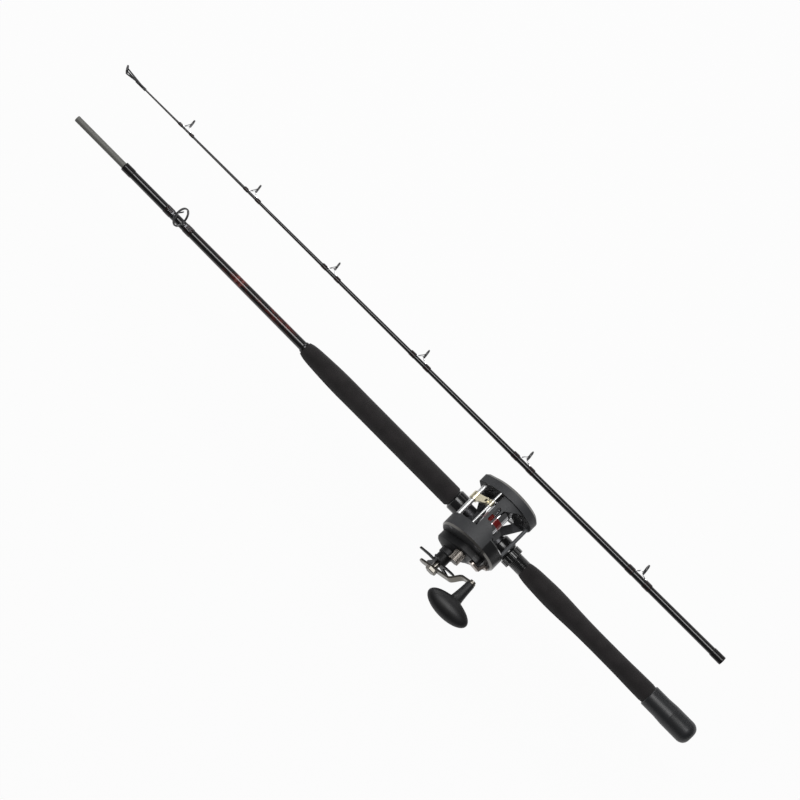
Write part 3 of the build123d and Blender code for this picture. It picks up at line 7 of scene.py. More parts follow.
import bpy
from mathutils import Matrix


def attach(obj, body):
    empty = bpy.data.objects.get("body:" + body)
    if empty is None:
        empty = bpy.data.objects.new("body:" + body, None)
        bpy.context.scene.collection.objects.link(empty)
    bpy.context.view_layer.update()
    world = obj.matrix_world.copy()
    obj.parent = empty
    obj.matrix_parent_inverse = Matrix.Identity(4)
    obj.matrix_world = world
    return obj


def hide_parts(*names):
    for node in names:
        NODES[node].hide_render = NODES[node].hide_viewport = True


bl_info = {
    "name": "Boat Rod and Reel",
    "version": (1, 0, 0),
    "blender": (4, 5, 0),
    "location": "View3D > Sidebar > Rod",
    "description": "Dresses the packed rod and reel with turned surfaces and procedural finishes",
    "category": "Object",
}

from collections import namedtuple

import bpy
import numpy as np
from mathutils import Matrix

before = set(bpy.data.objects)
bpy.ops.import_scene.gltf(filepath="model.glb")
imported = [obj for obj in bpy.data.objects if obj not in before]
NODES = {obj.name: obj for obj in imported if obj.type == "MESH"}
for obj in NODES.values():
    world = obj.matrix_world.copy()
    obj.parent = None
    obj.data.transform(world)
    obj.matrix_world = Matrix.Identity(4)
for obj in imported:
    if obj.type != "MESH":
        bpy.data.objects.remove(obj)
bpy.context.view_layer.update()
MM = 0.001

# Rod, in millimetres as in the model
BUTT_LENGTH = 1041.0
BLANK_START = 8.0
BLANK_RADII = (8.85, 5.52)
BLANK_WALL = 1.6
BLANK_RINGS = 60
SPIGOT_R = 4.35
SPIGOT_ROOT_R = 4.6
SPIGOT_BORE_R = 2.6
SPIGOT_SPAN = (981.0, 1128.0)
SPIGOT_CHAMFER = 0.9
TIP_LENGTH = 1069.0
TIP_RADII = (5.45, 1.05)
SOCKET_R = 4.38
SOCKET_DEPTH = 90.0
SOCKET_CHAMFER = (0.4, 0.3)
GRIP_END = 709.0
SEAT_SPAN = (307.0, 436.0)
SEAT_PITCH = 2.0
SEAT_THREAD_END = (333.0, 335.0)
CAP_LENGTH = 78.0
CHECK_R = 7.9
CHECK_BORE_R = 7.0
CHECK_LENGTH = 4.0

# Reel and handle, in millimetres as in the model
SPOOL_AXIS = np.array([381.0, 0.0, 49.2])
KNOB_AXIS = np.array([344.684, 0.0, 67.582])
KNOB_SPAN = (82.1, 139.8)
KNOB_CENTRE_Y = 124.8
KNOB_HALVES = (33.5, 15.0, 13.0)
KNOB_NECK_R = (6.0, 6.9, 8.6, 9.6)
KNOB_FADE = 10.0
KNOB_SIDES = 96
CRANK_ANGLE = np.radians(141.0)
ARM_REACH = 61.0
ARM_SHORT_END = 24.0
ARM_HALVES = (6.5, 5.5)
ARM_THICK = 3.0
ARM_LEVELS = (92.5, 80.3)
ARM_BEND = (29.5, 46.5)
ARM_EDGE = 0.4
RING_INNER_Y = 27.0
RING_R = 43.5
COVER_EDGE_X = 367.0

# Thread wraps: thickness, taper, edge, spread over a foot, trim, and the two wraps at the joint
WRAP = 0.42
TAPER = 2.0
EDGE = 0.22
FOOT_SPREAD = 0.75
TRIM_SPAN = (2.2, 3.2)
SHOULDER_WRAP = (16.0, 0.65)
SOCKET_WRAP = (19.0, 0.7)

# Grips and cap: distance along, or its share of the length, and radius
REAR_GRIP = ((0.0, 13.9), (0.1, 13.6), (0.22, 13.0), (0.36, 12.8), (0.51, 13.0), (0.61, 13.7),
             (0.69, 14.5), (0.77, 14.9), (0.87, 14.2), (0.95, 13.1), (1.0, 11.3))
FORE_GRIP_R = 14.6
FORE_GRIP_REAR = ((0.0, 11.8), (1.0, 12.9), (2.2, 14.0), (3.6, FORE_GRIP_R))
FORE_GRIP_STRAIGHT = 213.0
FORE_GRIP_NOSE = ((-40.0, FORE_GRIP_R), (0.0, FORE_GRIP_R), (19.8, 13.9), (33.0, 13.2), (46.2, 12.3),
                  (54.6, 11.1))
FORE_GRIP_END_R = 9.4
CAP_DOME = (12.0, 6.0, 10.2)
CAP_SIDE = ((40.0, 16.2), (55.0, 15.2), (CAP_LENGTH - 1.2, 15.2), (CAP_LENGTH, 14.2))

# Where finishes, painted shade and painted highlights change, in millimetres, from the start to the end of
# each change
SECTIONS_APART_Y = -30.0
MARBLE_START = (722.0, 745.0)
MARBLE_END = (800.0, 935.0)
TRIM_BANDS = (826.0, 834.0)
TRIM_BAND_HALF = (1.6, 2.1)
HANDLE_SIDE_Y = (20.0, 21.0)
REAR_BAR_HALF = (25.0, 26.0)
REAR_BAR_LOW = (24.0, 26.0)
REAR_BAR_HIGH = (58.0, 60.0)
PLATE_RIM_R = (38.0, 39.5)
SPOOL_BAND_Y = -1.0
SPOOL_BAND_HALF = (4.4, 4.8)
ARBOR_R = (16.0, 17.0)
FLANGE_FOOT_R = (16.0, 18.0)
FLANGE_RIM_R = (29.2, 29.6)

# Guides
Eye = namedtuple("Eye", "x ring_r height lean")
Guide = namedtuple("Guide", "x ring_r height reach lean wire_r foot_width foot")
BUTT_GUIDE = Guide(941.0, 14.0, 20.5, 22.0, 30.0, 0.95, 4.0, 1.1)
TIP_WIRE = (8.0, 0.55, 2.6, 0.8)
TIP_GUIDES = [Guide(TIP_LENGTH * share, *sizes, *TIP_WIRE) for share, *sizes in (
    (0.144, 8.0, 15.0, 19.0), (0.3415, 7.5, 14.0, 17.0), (0.518, 7.0, 13.2, 15.5),
    (0.67, 6.75, 12.6, 14.0), (0.8045, 6.5, 12.0, 12.5), (0.917, 6.5, 11.3, 11.5))]
FOOT_SHARE = 0.62
RING_HOLDER = 0.9
RING_LINING = 1.3
RING_WIDTH = 2.8
LEG_TOP = 8.2
LEG_BLEND = 0.8
TIP_TOP = Eye(1090.0, 6.0, 2.4, 34.0)

# Places: origin, direction along, direction of the guides or of angle zero
BUTT = (np.zeros(3), np.array([1.0, 0, 0]), np.array([0, 0, 1.0]))
TIP_TURN = np.radians(0.55)
TIP = (np.array([39.0, -102.0, 0]), np.array([np.cos(TIP_TURN), np.sin(TIP_TURN), 0]),
       np.array([np.sin(TIP_TURN), -np.cos(TIP_TURN), 0]))
ACROSS = np.array([0, 1.0, 0])

# Limits in making surfaces: a sharp edge, a point on the axis, a straight corner, the rounded part of a side
SHARP_ANGLE = np.radians(38.0)
ON_AXIS = 1e-6
STRAIGHT = np.radians(172.0)
SIDE_SHARE = 0.45

# Stage, in metres, with the sensor in millimetres; a lamp has a place, a size and a share of the key light
FLOOR_HALF = 30.0
FLOOR_GLOW = 0.95
WORLD_STRENGTH = 0.12
SENSOR_WIDTH = 36.0
CLIP_END = 100.0
TARGET = np.array([0.575, -0.0414, 0.0])
CAMERA_BACK = np.array([0, 0.259, 0.966])
CAMERA_SIDE = np.array([0, -0.966, 0.259])
CAMERA_TURN = (0.704, 0.710)
LAMPS = (("key", (0.575, -0.17, 2.4), (1.9, 1.0), 1.0), ("front", (2.6, -1.9, 1.6), (1.2, 1.2), 0.6),
         ("side", (0.5, -2.3, 1.2), (2.8, 0.4), 0.12))


# Settings

class RodSettings(bpy.types.PropertyGroup):
    """Sizes and colours of the two sections."""
    sides: bpy.props.IntProperty(
        name="Sides", description="Facets round a turned piece", default=96, min=24, max=256)
    blank_colour: bpy.props.FloatVectorProperty(
        name="Blank", description="Colour of the lacquered blanks", subtype="COLOR",
        default=(0.0055, 0.005, 0.0055))
    fleck_colour: bpy.props.FloatVectorProperty(
        name="Flecks", description="Dark red marbling ahead of the fore grip", subtype="COLOR",
        default=(0.08, 0.0125, 0.009))
    trim_colour: bpy.props.FloatVectorProperty(
        name="Trim thread", description="Trim bands at the ends of the wraps", subtype="COLOR",
        default=(0.026, 0.007, 0.006))
    foam_colour: bpy.props.FloatVectorProperty(
        name="Foam", description="Colour of the foam grips", subtype="COLOR",
        default=(0.0112, 0.0094, 0.0099))
    cap_colour: bpy.props.FloatVectorProperty(
        name="Butt cap", description="Colour of the rubber butt cap", subtype="COLOR",
        default=(0.0165, 0.0172, 0.0188))
    spigot_colour: bpy.props.FloatVectorProperty(
        name="Spigot", description="Colour of the ground spigot", subtype="COLOR",
        default=(0.125, 0.124, 0.114))
    thread_pitch: bpy.props.FloatProperty(
        name="Thread pitch", description="Spacing of the binding thread", subtype="DISTANCE",
        default=0.0003, min=0.0001)


class ReelSettings(bpy.types.PropertyGroup):
    """Colours of the reel."""
    coat_colour: bpy.props.FloatVectorProperty(
        name="Coat", description="Textured coat of the frame and plates", subtype="COLOR",
        default=(0.036, 0.037, 0.0395))
    # Painted shade: near black for the rear of the handle's side, which faces away from the light
    rear_shade_colour: bpy.props.FloatVectorProperty(
        name="Rear", description="Black rear of the handle's side", subtype="COLOR",
        default=(0.006, 0.006, 0.0065))
    # Painted highlight: a bright line along the rings' inner lips
    lip_highlight_colour: bpy.props.FloatVectorProperty(
        name="Ring lips", description="Bright inner lips of the rings", subtype="COLOR",
        default=(0.5, 0.5, 0.5))
    # Rims of the plates: partly a paler turned finish, partly painted highlight
    rim_and_highlight_colour: bpy.props.FloatVectorProperty(
        name="Edges", description="Lighter rims of the plates", subtype="COLOR",
        default=(0.17, 0.165, 0.155))
    spool_colour: bpy.props.FloatVectorProperty(
        name="Spool", description="Bright metal of the spool", subtype="COLOR",
        default=(0.42, 0.42, 0.43))
    band_colour: bpy.props.FloatVectorProperty(
        name="Spool band", description="Red band round the arbor", subtype="COLOR",
        default=(0.17, 0.010, 0.010))
    guide_colour: bpy.props.FloatVectorProperty(
        name="Line guide", description="Pale gold of the line guide", subtype="COLOR",
        default=(0.62, 0.57, 0.42))
    knob_colour: bpy.props.FloatVectorProperty(
        name="Knob", description="Soft rubber of the handle knob", subtype="COLOR",
        default=(0.0085, 0.0085, 0.0092))


class StageSettings(bpy.types.PropertyGroup):
    """Floor, light and camera."""
    floor_colour: bpy.props.FloatVectorProperty(
        name="Floor", description="Colour of the floor", subtype="COLOR",
        default=(0.6, 0.6, 0.6))
    floor_drop: bpy.props.FloatProperty(
        name="Floor drop", description="Floor's depth below the rod", subtype="DISTANCE",
        default=0.35)
    camera_distance: bpy.props.FloatProperty(
        name="Camera distance", description="From the target", subtype="DISTANCE",
        default=6.0)
    view_width: bpy.props.FloatProperty(
        name="View width", description="Width of the view at the target", subtype="DISTANCE",
        default=1.036)
    key_power: bpy.props.FloatProperty(
        name="Key light", description="Power of the soft box", subtype="POWER",
        default=44.0)


# Surfaces

def new_piece(name, points, faces, body, slot, finish, *replaced):
    """Mesh object from arrays of points in millimetres and of faces, turned outwards, riding on a body.

    The signed volume of a closed surface is a sixth of the sum of its triangles' triple products: where that
    is negative, every face is reversed.
    """
    fan = [faces[:, [0, k, k + 1]] for k in range(1, faces.shape[1] - 1)]
    a, b, c = (points[np.concatenate(fan)[:, k]] for k in range(3))
    if np.einsum("ij,ij->i", a, np.cross(b, c)).sum() < 0:
        faces = faces[:, ::-1]
    mesh = bpy.data.meshes.new(name)
    mesh.from_pydata((points * MM).tolist(), [], [list(dict.fromkeys(face)) for face in faces.tolist()])
    mesh.validate()
    mesh.shade_smooth()
    mesh.set_sharp_from_angle(angle=SHARP_ANGLE)
    mesh.materials.append(finish)
    piece = bpy.data.objects.new(name, mesh)
    bpy.context.scene.collection.objects.link(piece)
    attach(piece, body)
    if replaced:
        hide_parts(*replaced)
    return piece


def grid_faces(rows, columns, loop_rows):
    """Quads of a grid whose columns close on themselves, and whose rows do too if loop_rows is set."""
    i = np.arange(rows if loop_rows else rows - 1)[:, None]
    j = np.arange(columns)[None, :]
    i2 = (i + 1) % rows
    j2 = (j + 1) % columns
    corners = [i * columns + j, i * columns + j2, i2 * columns + j2, i2 * columns + j]
    return np.stack([np.broadcast_to(corner, (i.size, columns)) for corner in corners], -1).reshape(-1, 4)


def turned(profile, place, sides, swell=None):
    """Points and faces of a surface of revolution.

    The profile's point (along, radius) at angle t lies at
    origin + along * a + radius * (cos t * b + sin t * c).
    A swell array, one row per profile point, is added to the radius. The profile is a closed loop; where it
    lies on the axis, its ring of points is drawn together into one.
    """
    origin, a, b = place
    c = np.cross(a, b)
    angles = np.linspace(0, 2 * np.pi, sides, endpoint=False)
    along = profile[:, 0][:, None, None] * a
    radius = profile[:, 1][:, None] + (0 if swell is None else swell)
    radius = np.broadcast_to(radius, (len(profile), sides))
    spoke = np.cos(angles)[:, None] * b + np.sin(angles)[:, None] * c
    points = (origin + along + radius[..., None] * spoke).reshape(-1, 3)
    faces = grid_faces(len(profile), sides, True)
    pole = np.repeat(profile[:, 1] < ON_AXIS, sides)
    rows = np.arange(len(profile)).repeat(sides) * sides
    merged = np.where(pole, rows, np.arange(len(points)))
    faces = merged[faces]
    kept = np.unique(faces)
    renumber = np.zeros(len(points), int)
    renumber[kept] = np.arange(len(kept))
    faces = renumber[faces]
    solid = np.array([len(set(face)) > 2 for face in faces.tolist()])
    return points[kept], faces[solid]


def rounded(points, radius, steps=4):
    """Closed outline with each corner drawn as a curve.

    The curve from a to b is (1 - t) ** 2 * a + 2 * t * (1 - t) * corner + t ** 2 * b, where a and b are the
    points at which an arc of the radius would touch the two sides, within less than half of either.
    """
    points = np.asarray(points, float)
    out = []
    for before, here, after in zip(np.roll(points, 1, 0), points, np.roll(points, -1, 0)):
        one, two = before - here, after - here
        len_one, len_two = np.linalg.norm(one), np.linalg.norm(two)
        one, two = one / len_one, two / len_two
        turn = np.arccos(np.clip(one @ two, -1, 1))
        if turn > STRAIGHT or here[1] < ON_AXIS:
            out.append(here[None])
            continue
        reach = min(radius / np.tan(turn / 2), SIDE_SHARE * len_one, SIDE_SHARE * len_two)
        a, b = here + one * reach, here + two * reach
        t = np.linspace(0, 1, steps + 1)[:, None]
        out.append((1 - t) ** 2 * a + 2 * t * (1 - t) * here + t ** 2 * b)
    return np.concatenate(out)


def curve(knots, count):
    """Points of a cubic Hermite curve through (along, radius) knots, with slopes from their neighbours."""
    x, y = np.asarray(knots, float).T
    slope = np.gradient(y, x)
    t = np.linspace(x[0], x[-1], count)
    k = np.clip(np.searchsorted(x, t, side="right") - 1, 0, len(x) - 2)
    step = x[k + 1] - x[k]
    s = (t - x[k]) / step
    value = ((2 * s ** 3 - 3 * s ** 2 + 1) * y[k] + (s ** 3 - 2 * s ** 2 + s) * step * slope[k]
             + (3 * s ** 2 - 2 * s ** 3) * y[k + 1] + (s ** 3 - s ** 2) * step * slope[k + 1])
    return np.stack([t, value], -1)


def join(parts):
    """One set of points and faces from several."""
    starts = np.cumsum([0] + [len(points) for points, faces in parts[:-1]])
    return (np.concatenate([points for points, faces in parts]),
            np.concatenate([faces + start for (points, faces), start in zip(parts, starts)]))


def blank_radius(x):
    """Outer radius of the butt blank, straight from butt to shoulder."""
    return BLANK_RADII[0] + (BLANK_RADII[1] - BLANK_RADII[0]) * x / BUTT_LENGTH


def on_blank(*places):
    """Profile points on the butt blank at distances along it."""
    return [(x, blank_radius(x)) for x in places]


def tip_radius(x):
    """Outer radius of the tip blank, straight from socket to end."""
    return TIP_RADII[0] + (TIP_RADII[1] - TIP_RADII[0]) * x / TIP_LENGTH


# Finishes

def shade(colour, factor):
    """Colour made lighter or darker."""
    return tuple(min(channel * factor, 1.0) for channel in colour)


class Value:
    """A number or colour that changes over a surface: a socket whose operators add Math nodes."""

    def __init__(self, finish, socket):
        self.finish = finish
        self.socket = socket

    def math(self, operation, *values):
        return self.finish.add("ShaderNodeMath", {"operation": operation}, dict(enumerate(values)))

    def __add__(self, other):
        return self.math("ADD", self, other)

    def __sub__(self, other):
        return self.math("SUBTRACT", self, other)

    def __rsub__(self, other):
        return self.math("SUBTRACT", other, self)

    def __mul__(self, other):
        return self.math("MULTIPLY", self, other)

    def __pow__(self, other):
        return self.math("POWER", self, other)

    def __abs__(self):
        return self.math("ABSOLUTE", self)

    def sine(self):
        return self.math("SINE", self)

    def step(self, low, high):
        """Smooth step from 0 at low to 1 at high."""
        return self.finish.add("ShaderNodeMapRange", {"interpolation_type": "SMOOTHSTEP"},
                               {0: self, 1: low, 2: high, 3: 0.0, 4: 1.0})

    __radd__ = __add__
    __rmul__ = __mul__


class Finish:
    """A material in the making: one Principled shader and the nodes that feed it."""

    def __init__(self, name, **sockets):
        self.material = bpy.data.materials.new(name)
        self.material.use_nodes = True
        self.tree = self.material.node_tree
        self.shader = self.tree.nodes["Principled BSDF"]
        self.set(**sockets)

    def add(self, kind, settings=None, inputs=None, output=0):
        """A node of a kind, with its settings and then the values or links of its sockets."""
        node = self.tree.nodes.new(kind)
        for key, value in (settings or {}).items():
            setattr(node, key, value)
        for key, value in (inputs or {}).items():
            self.put(node.inputs[key], value)
        return Value(self, node.outputs[output])

    def put(self, socket, value):
        if isinstance(value, Value):
            self.tree.links.new(value.socket, socket)
        else:
            socket.default_value = value

    def set(self, **sockets):
        """Sockets of the shader by name, with underscores for spaces."""
        for key, value in sockets.items():
            if key.endswith("Color") and not isinstance(value, Value):
                value = (*value, 1.0)
            self.put(self.shader.inputs[key.replace("_", " ")], value)

    def place(self):
        """Object coordinates in metres."""
        return self.add("ShaderNodeTexCoord", output="Object")

    def axes(self):
        """The three object coordinates, in millimetres."""
        place = self.place()
        return [self.add("ShaderNodeSeparateXYZ", None, {0: place}, k) * (1 / MM) for k in range(3)]

    def noise(self, scale, detail=2.0, rough=0.5, stretch=None):
        """Noise of so many cells to the metre, drawn out by the stretch."""
        place = self.place()
        if stretch:
            place = self.add("ShaderNodeMapping", None, {"Vector": place, "Scale": stretch})
        return self.add("ShaderNodeTexNoise", None,
                        {"Vector": place, "Scale": scale, "Detail": detail, "Roughness": rough})

    def cells(self, scale):
        """Distance to the nearest of scattered points, so many to the metre."""
        return self.add("ShaderNodeTexVoronoi", None, {"Vector": self.place(), "Scale": scale})

    def mix(self, factor, one, two):
        """Colour between two."""
        one, two = ((*c, 1.0) if not isinstance(c, Value) else c for c in (one, two))
        return self.add("ShaderNodeMix", {"data_type": "RGBA"}, {0: factor, 6: one, 7: two}, 2)

    def tones(self, factor, colour, dark, light):
        """Colour between a darker and a lighter shade of one."""
        return self.mix(factor, shade(colour, dark), shade(colour, light))

    def bump(self, height, distance):
        """Relief of so many metres, fed to the shader's normal."""
        self.set(Normal=self.add("ShaderNodeBump", None, {"Height": height, "Distance": distance}))

    def normal_part(self, axis):
        """One part of the surface's own direction."""
        normal = self.add("ShaderNodeNewGeometry", None, None, "Normal")
        return self.add("ShaderNodeSeparateXYZ", None, {0: normal}, axis)

    def attribute(self, name):
        return self.add("ShaderNodeAttribute", {"attribute_name": name}, None, "Fac")


def blank_finish(rod, name, gloss):
    """Black lacquer under a clear coat, marbled with dark red ahead of the fore grip."""
    finish = Finish(name, Roughness=0.35, Coat_Weight=0.65, Coat_Roughness=gloss, Coat_IOR=1.6,
                    Specular_IOR_Level=0.08)
    x, y = finish.axes()[:2]
    on_butt = (y - SECTIONS_APART_Y).step(-1.0, 1.0)
    span = x.step(*MARBLE_START) * (1 - x.step(*MARBLE_END)) * on_butt
    marble = finish.noise(105.0, 6.0, 0.62, (0.45, 1.0, 1.0)).step(0.44, 0.58)
    vein = finish.noise(190.0, 3.0, 0.6, (0.3, 1.0, 1.0)).step(0.40, 0.58)
    band = sum(1 - abs(x - middle).step(*TRIM_BAND_HALF) for middle in TRIM_BANDS) * on_butt
    base = finish.mix(marble * vein * span, rod.blank_colour, rod.fleck_colour)
    finish.set(Base_Color=finish.mix(band, base, shade(rod.trim_colour, 5.0)))
    return finish.material


def spigot_finish(rod):
    """Ground carbon, faintly ringed by the grinder and rubbed brighter in places."""
    finish = Finish("ground_spigot")
    rings = finish.noise(900.0, 3.0, 0.6, (1.0, 0.04, 0.04))
    rub = finish.noise(45.0, 3.0)
    finish.set(Base_Color=finish.tones(rings * 0.6 + rub * 0.4, rod.spigot_colour, 0.7, 1.35),
               Roughness=rub * 0.25 + 0.38)
    finish.bump(rings, 0.00004)
    return finish.material


def foam_finish(rod):
    """Closed-cell foam: fine cells, a soft mottling and hand-polished patches."""
    finish = Finish("grip_foam", Sheen_Weight=0.12, Sheen_Roughness=0.6, Specular_IOR_Level=0.28)
    cells = finish.cells(1500.0)
    mottle = finish.noise(60.0, 4.0)
    grain = finish.noise(1300.0, 3.0, 0.65)
    tone = mottle.step(0.3, 0.7) * 0.6 + grain * 0.4
    finish.set(Base_Color=finish.tones(tone, rod.foam_colour, 0.72, 1.4), Roughness=0.97 - mottle * 0.2)
    finish.bump(cells * 0.6 + grain * 0.8, 0.00022)
    return finish.material


def cap_finish(rod):
    """Moulded rubber with a fine grain and scuffs near the end."""
    finish = Finish("cap_rubber", Specular_IOR_Level=0.45)
    x = finish.axes()[0]
    grain = finish.noise(1500.0, 3.0, 0.6)
    scuff = finish.noise(160.0, 5.0, 0.7).step(0.52, 0.7) * (1 - x.step(4.0, 30.0))
    finish.set(Base_Color=finish.tones(scuff * 0.5, rod.cap_colour, 1.0, 2.0), Roughness=grain * 0.1 + 0.36)
    finish.bump(grain, 0.00003)
    return finish.material


def seat_finish():
    """Moulded black composite, threaded behind the nut."""
    finish = Finish("seat_composite", Specular_IOR_Level=0.5)
    x = finish.axes()[0]
    grain = finish.noise(1100.0, 3.0)
    tone = finish.noise(120.0, 3.0)
    thread = (x * (2 * np.pi / SEAT_PITCH)).sine() * (1 - x.step(*SEAT_THREAD_END))
    finish.set(Base_Color=finish.mix(tone, (0.007, 0.007, 0.0075), (0.013, 0.013, 0.0135)),
               Roughness=grain * 0.1 + 0.14)
    finish.bump(thread, 0.0003)
    return finish.material


def nut_finish():
    """Moulded black composite of the nut and the hood."""
    finish = Finish("hood_composite", Specular_IOR_Level=0.5)
    grain = finish.noise(1000.0, 3.0)
    finish.set(Base_Color=finish.mix(grain, (0.007, 0.007, 0.0075), (0.012, 0.012, 0.0125)),
               Roughness=grain * 0.08 + 0.12)
    finish.bump(grain, 0.000004)
    return finish.material


def thread_finish(rod):
    """Black binding thread with dark red trim at the ends, under clear varnish."""
    finish = Finish("bound_thread", Roughness=0.42, Coat_Weight=0.5, Coat_Roughness=0.13,
                    Specular_IOR_Level=0.08)
    along = finish.attribute("along_mm")
    trim = finish.attribute("trim")
    turns = (along * (2 * np.pi * MM / rod.thread_pitch)).sine()
    fibre = finish.noise(2500.0, 2.0)
    colour = finish.mix(fibre, (0.004, 0.0035, 0.004), (0.009, 0.008, 0.0085))
    finish.set(Base_Color=finish.mix(trim, colour, rod.trim_colour))
    finish.bump(turns * 0.5 + fibre * 0.3, 0.000006)
    return finish.material


def metal_finish(name, colour, rough, metallic=1.0, grain=400.0, stretch=None, relief=0.00002,
                 spread=0.2, shine=0.5):
    """Metal with brushed streaks or a fine grain, worn a little unevenly."""
    finish = Finish(name, Metallic=metallic, Specular_IOR_Level=shine)
    streak = finish.noise(grain, 4.0, 0.6, stretch)
    wear = finish.noise(70.0, 3.0)
    finish.set(Base_Color=finish.tones(streak * 0.5 + wear * 0.5, colour, 1 - spread, 1 + spread),
               Roughness=streak * 0.16 + wear * 0.1 + (rough - 0.13))
    finish.bump(streak, relief)
    return finish.material


def wire_finish(name, place, colour):
    """Metal wire, blackened where the holder goes round the ring.

    The height over the blank's axis is the part of the way from the place's origin that lies along the
    direction of the guides.
    """
    origin, _, up = place
    finish = Finish(name)
    height = sum(axis * part for axis, part in zip(finish.axes(), up.tolist())) - float(origin @ up)
    ring = height.step(LEG_TOP - LEG_BLEND, LEG_TOP + LEG_BLEND)
    wear = finish.noise(400.0, 3.0)
    finish.set(Base_Color=finish.mix(ring, colour, (0.035, 0.035, 0.037)), Metallic=1 - ring,
               Roughness=wear * 0.1 + 0.16 + ring * 0.2)
    finish.bump(wear, 0.000004)
    return finish.material


def from_spool_axis(x, z):
    """Distance from the spool's axis."""
    return ((x - SPOOL_AXIS[0]) ** 2.0 + (z - SPOOL_AXIS[2]) ** 2.0) ** 0.5


def coat_finish(name, reel, edges, tint=1.0):
    """Textured paint with a bright painted highlight on the ring lips and, where edges is set, paler turned
    rims, partly painted highlight.

    The rear on the handle's side is painted black as shade, and the bar between the rings is painted paler as
    light.
    """
    finish = Finish(name, Specular_IOR_Level=0.3)
    pebble = finish.cells(1300.0)
    fine = finish.noise(1800.0, 3.0, 0.6)
    tone = finish.noise(45.0, 3.0)
    colour = finish.tones(tone * 0.6 + fine * 0.4, reel.coat_colour, 0.72 * tint, 1.35 * tint)
    x, y, z = finish.axes()
    away = from_spool_axis(x, z)
    rear = 1 - x.step(COVER_EDGE_X - 0.5, COVER_EDGE_X + 0.5)
    # Painted shade: the rear of the handle's side is coloured near black and made glossier, where it faces
    # away from the light
    gloss = rear * y.step(*HANDLE_SIDE_Y)
    colour = finish.mix(gloss * 0.85, colour, reel.rear_shade_colour)
    # Painted highlight: a thin bright metallic line on the inner lip of the handle-side ring, at the rear
    # only
    edge_highlight = rear * (1 - abs(y - RING_INNER_Y - 0.5).step(0.5, 0.8)) * away.step(RING_R - 0.6, RING_R - 0.3)
    colour = finish.mix(edge_highlight, colour, reel.lip_highlight_colour)
    # Painted light: the bar between the rings at the rear takes a copy of the coat more than twice as light
    bar_painted_light = rear * (1 - abs(y).step(*REAR_BAR_HALF)) * z.step(*REAR_BAR_LOW) * (1 - z.step(*REAR_BAR_HIGH))
    colour = finish.mix(bar_painted_light, colour, shade(reel.coat_colour, 2.4))
    if edges:
        across = abs(finish.normal_part(1))
        # Paler rims on the plates' bevels, chosen by the bevel's direction: partly a turned finish, partly
        # painted highlight
        turned_and_lit_rim = across.step(0.30, 0.55) * (1 - across.step(0.80, 0.93)) * away.step(*PLATE_RIM_R)
        colour = finish.mix(turned_and_lit_rim * 0.85, colour, reel.rim_and_highlight_colour)
        # The painted lip highlight and the rims, which are partly painted highlight, are metallic, smoother
        # and less bumpy
        edge_highlight = edge_highlight + turned_and_lit_rim * 0.9
    finish.set(Base_Color=colour, Roughness=fine * 0.2 + 0.42 - gloss * 0.2 - edge_highlight * 0.2, Metallic=edge_highlight)
    finish.bump((pebble * 0.7 + fine * 0.5) * (1 - edge_highlight * 0.9), 0.00006)
    return finish.material


def spool_finish(reel):
    """Turned bright metal with black flange faces and a red band in the middle of the arbor."""
    finish = Finish("bright_spool")
    x, y, z = finish.axes()
    lines = finish.noise(900.0, 3.0, 0.6, (0.03, 1.0, 0.03))
    away = from_spool_axis(x, z)
    band = (1 - abs(y - SPOOL_BAND_Y).step(*SPOOL_BAND_HALF)) * (1 - away.step(*ARBOR_R))
    flange = away.step(*FLANGE_FOOT_R) * (1 - away.step(*FLANGE_RIM_R))
    metal = finish.tones(lines, reel.spool_colour, 0.85, 1.15)
    metal = finish.mix(flange, metal, (0.012, 0.012, 0.0125))
    finish.set(Base_Color=finish.mix(band, metal, reel.band_colour),
               Metallic=(1 - band * 0.9) * (1 - flange),
               Roughness=lines * 0.03 + 0.05 + flange * 0.2)
    finish.bump(lines, 0.000004)
    return finish.material


def knob_finish(reel):
    """Soft-touch rubber."""
    finish = Finish("knob_rubber", Specular_IOR_Level=0.35)
    grain = finish.noise(1700.0, 3.0, 0.6)
    hand = finish.noise(70.0, 3.0)
    finish.set(Base_Color=finish.tones(hand, reel.knob_colour, 0.75, 1.4),
               Roughness=hand * 0.12 + grain * 0.1 + 0.34)
    finish.bump(grain, 0.00003)
    return finish.material


def lining_finish():
    """Dark polished ceramic."""
    finish = Finish("ring_ceramic", Coat_Weight=0.6, Coat_Roughness=0.05)
    tone = finish.noise(900.0, 2.0)
    finish.set(Base_Color=finish.mix(tone, (0.02, 0.02, 0.022), (0.045, 0.045, 0.048)),
               Roughness=tone * 0.1 + 0.15)
    return finish.material


def washer_finish():
    """Woven drag fibre."""
    finish = Finish("drag_fibre", Roughness=0.8)
    weave = finish.noise(1500.0, 2.0)
    finish.set(Base_Color=finish.mix(weave, (0.03, 0.026, 0.022), (0.09, 0.08, 0.07)))
    finish.bump(weave, 0.0001)
    return finish.material


def dress(finish, *names):
    """Gives CAD nodes a finish."""
    for name in names:
        materials = NODES[name].data.materials
        materials.clear()
        materials.append(finish)


# Operators, each after the shapes that only it uses

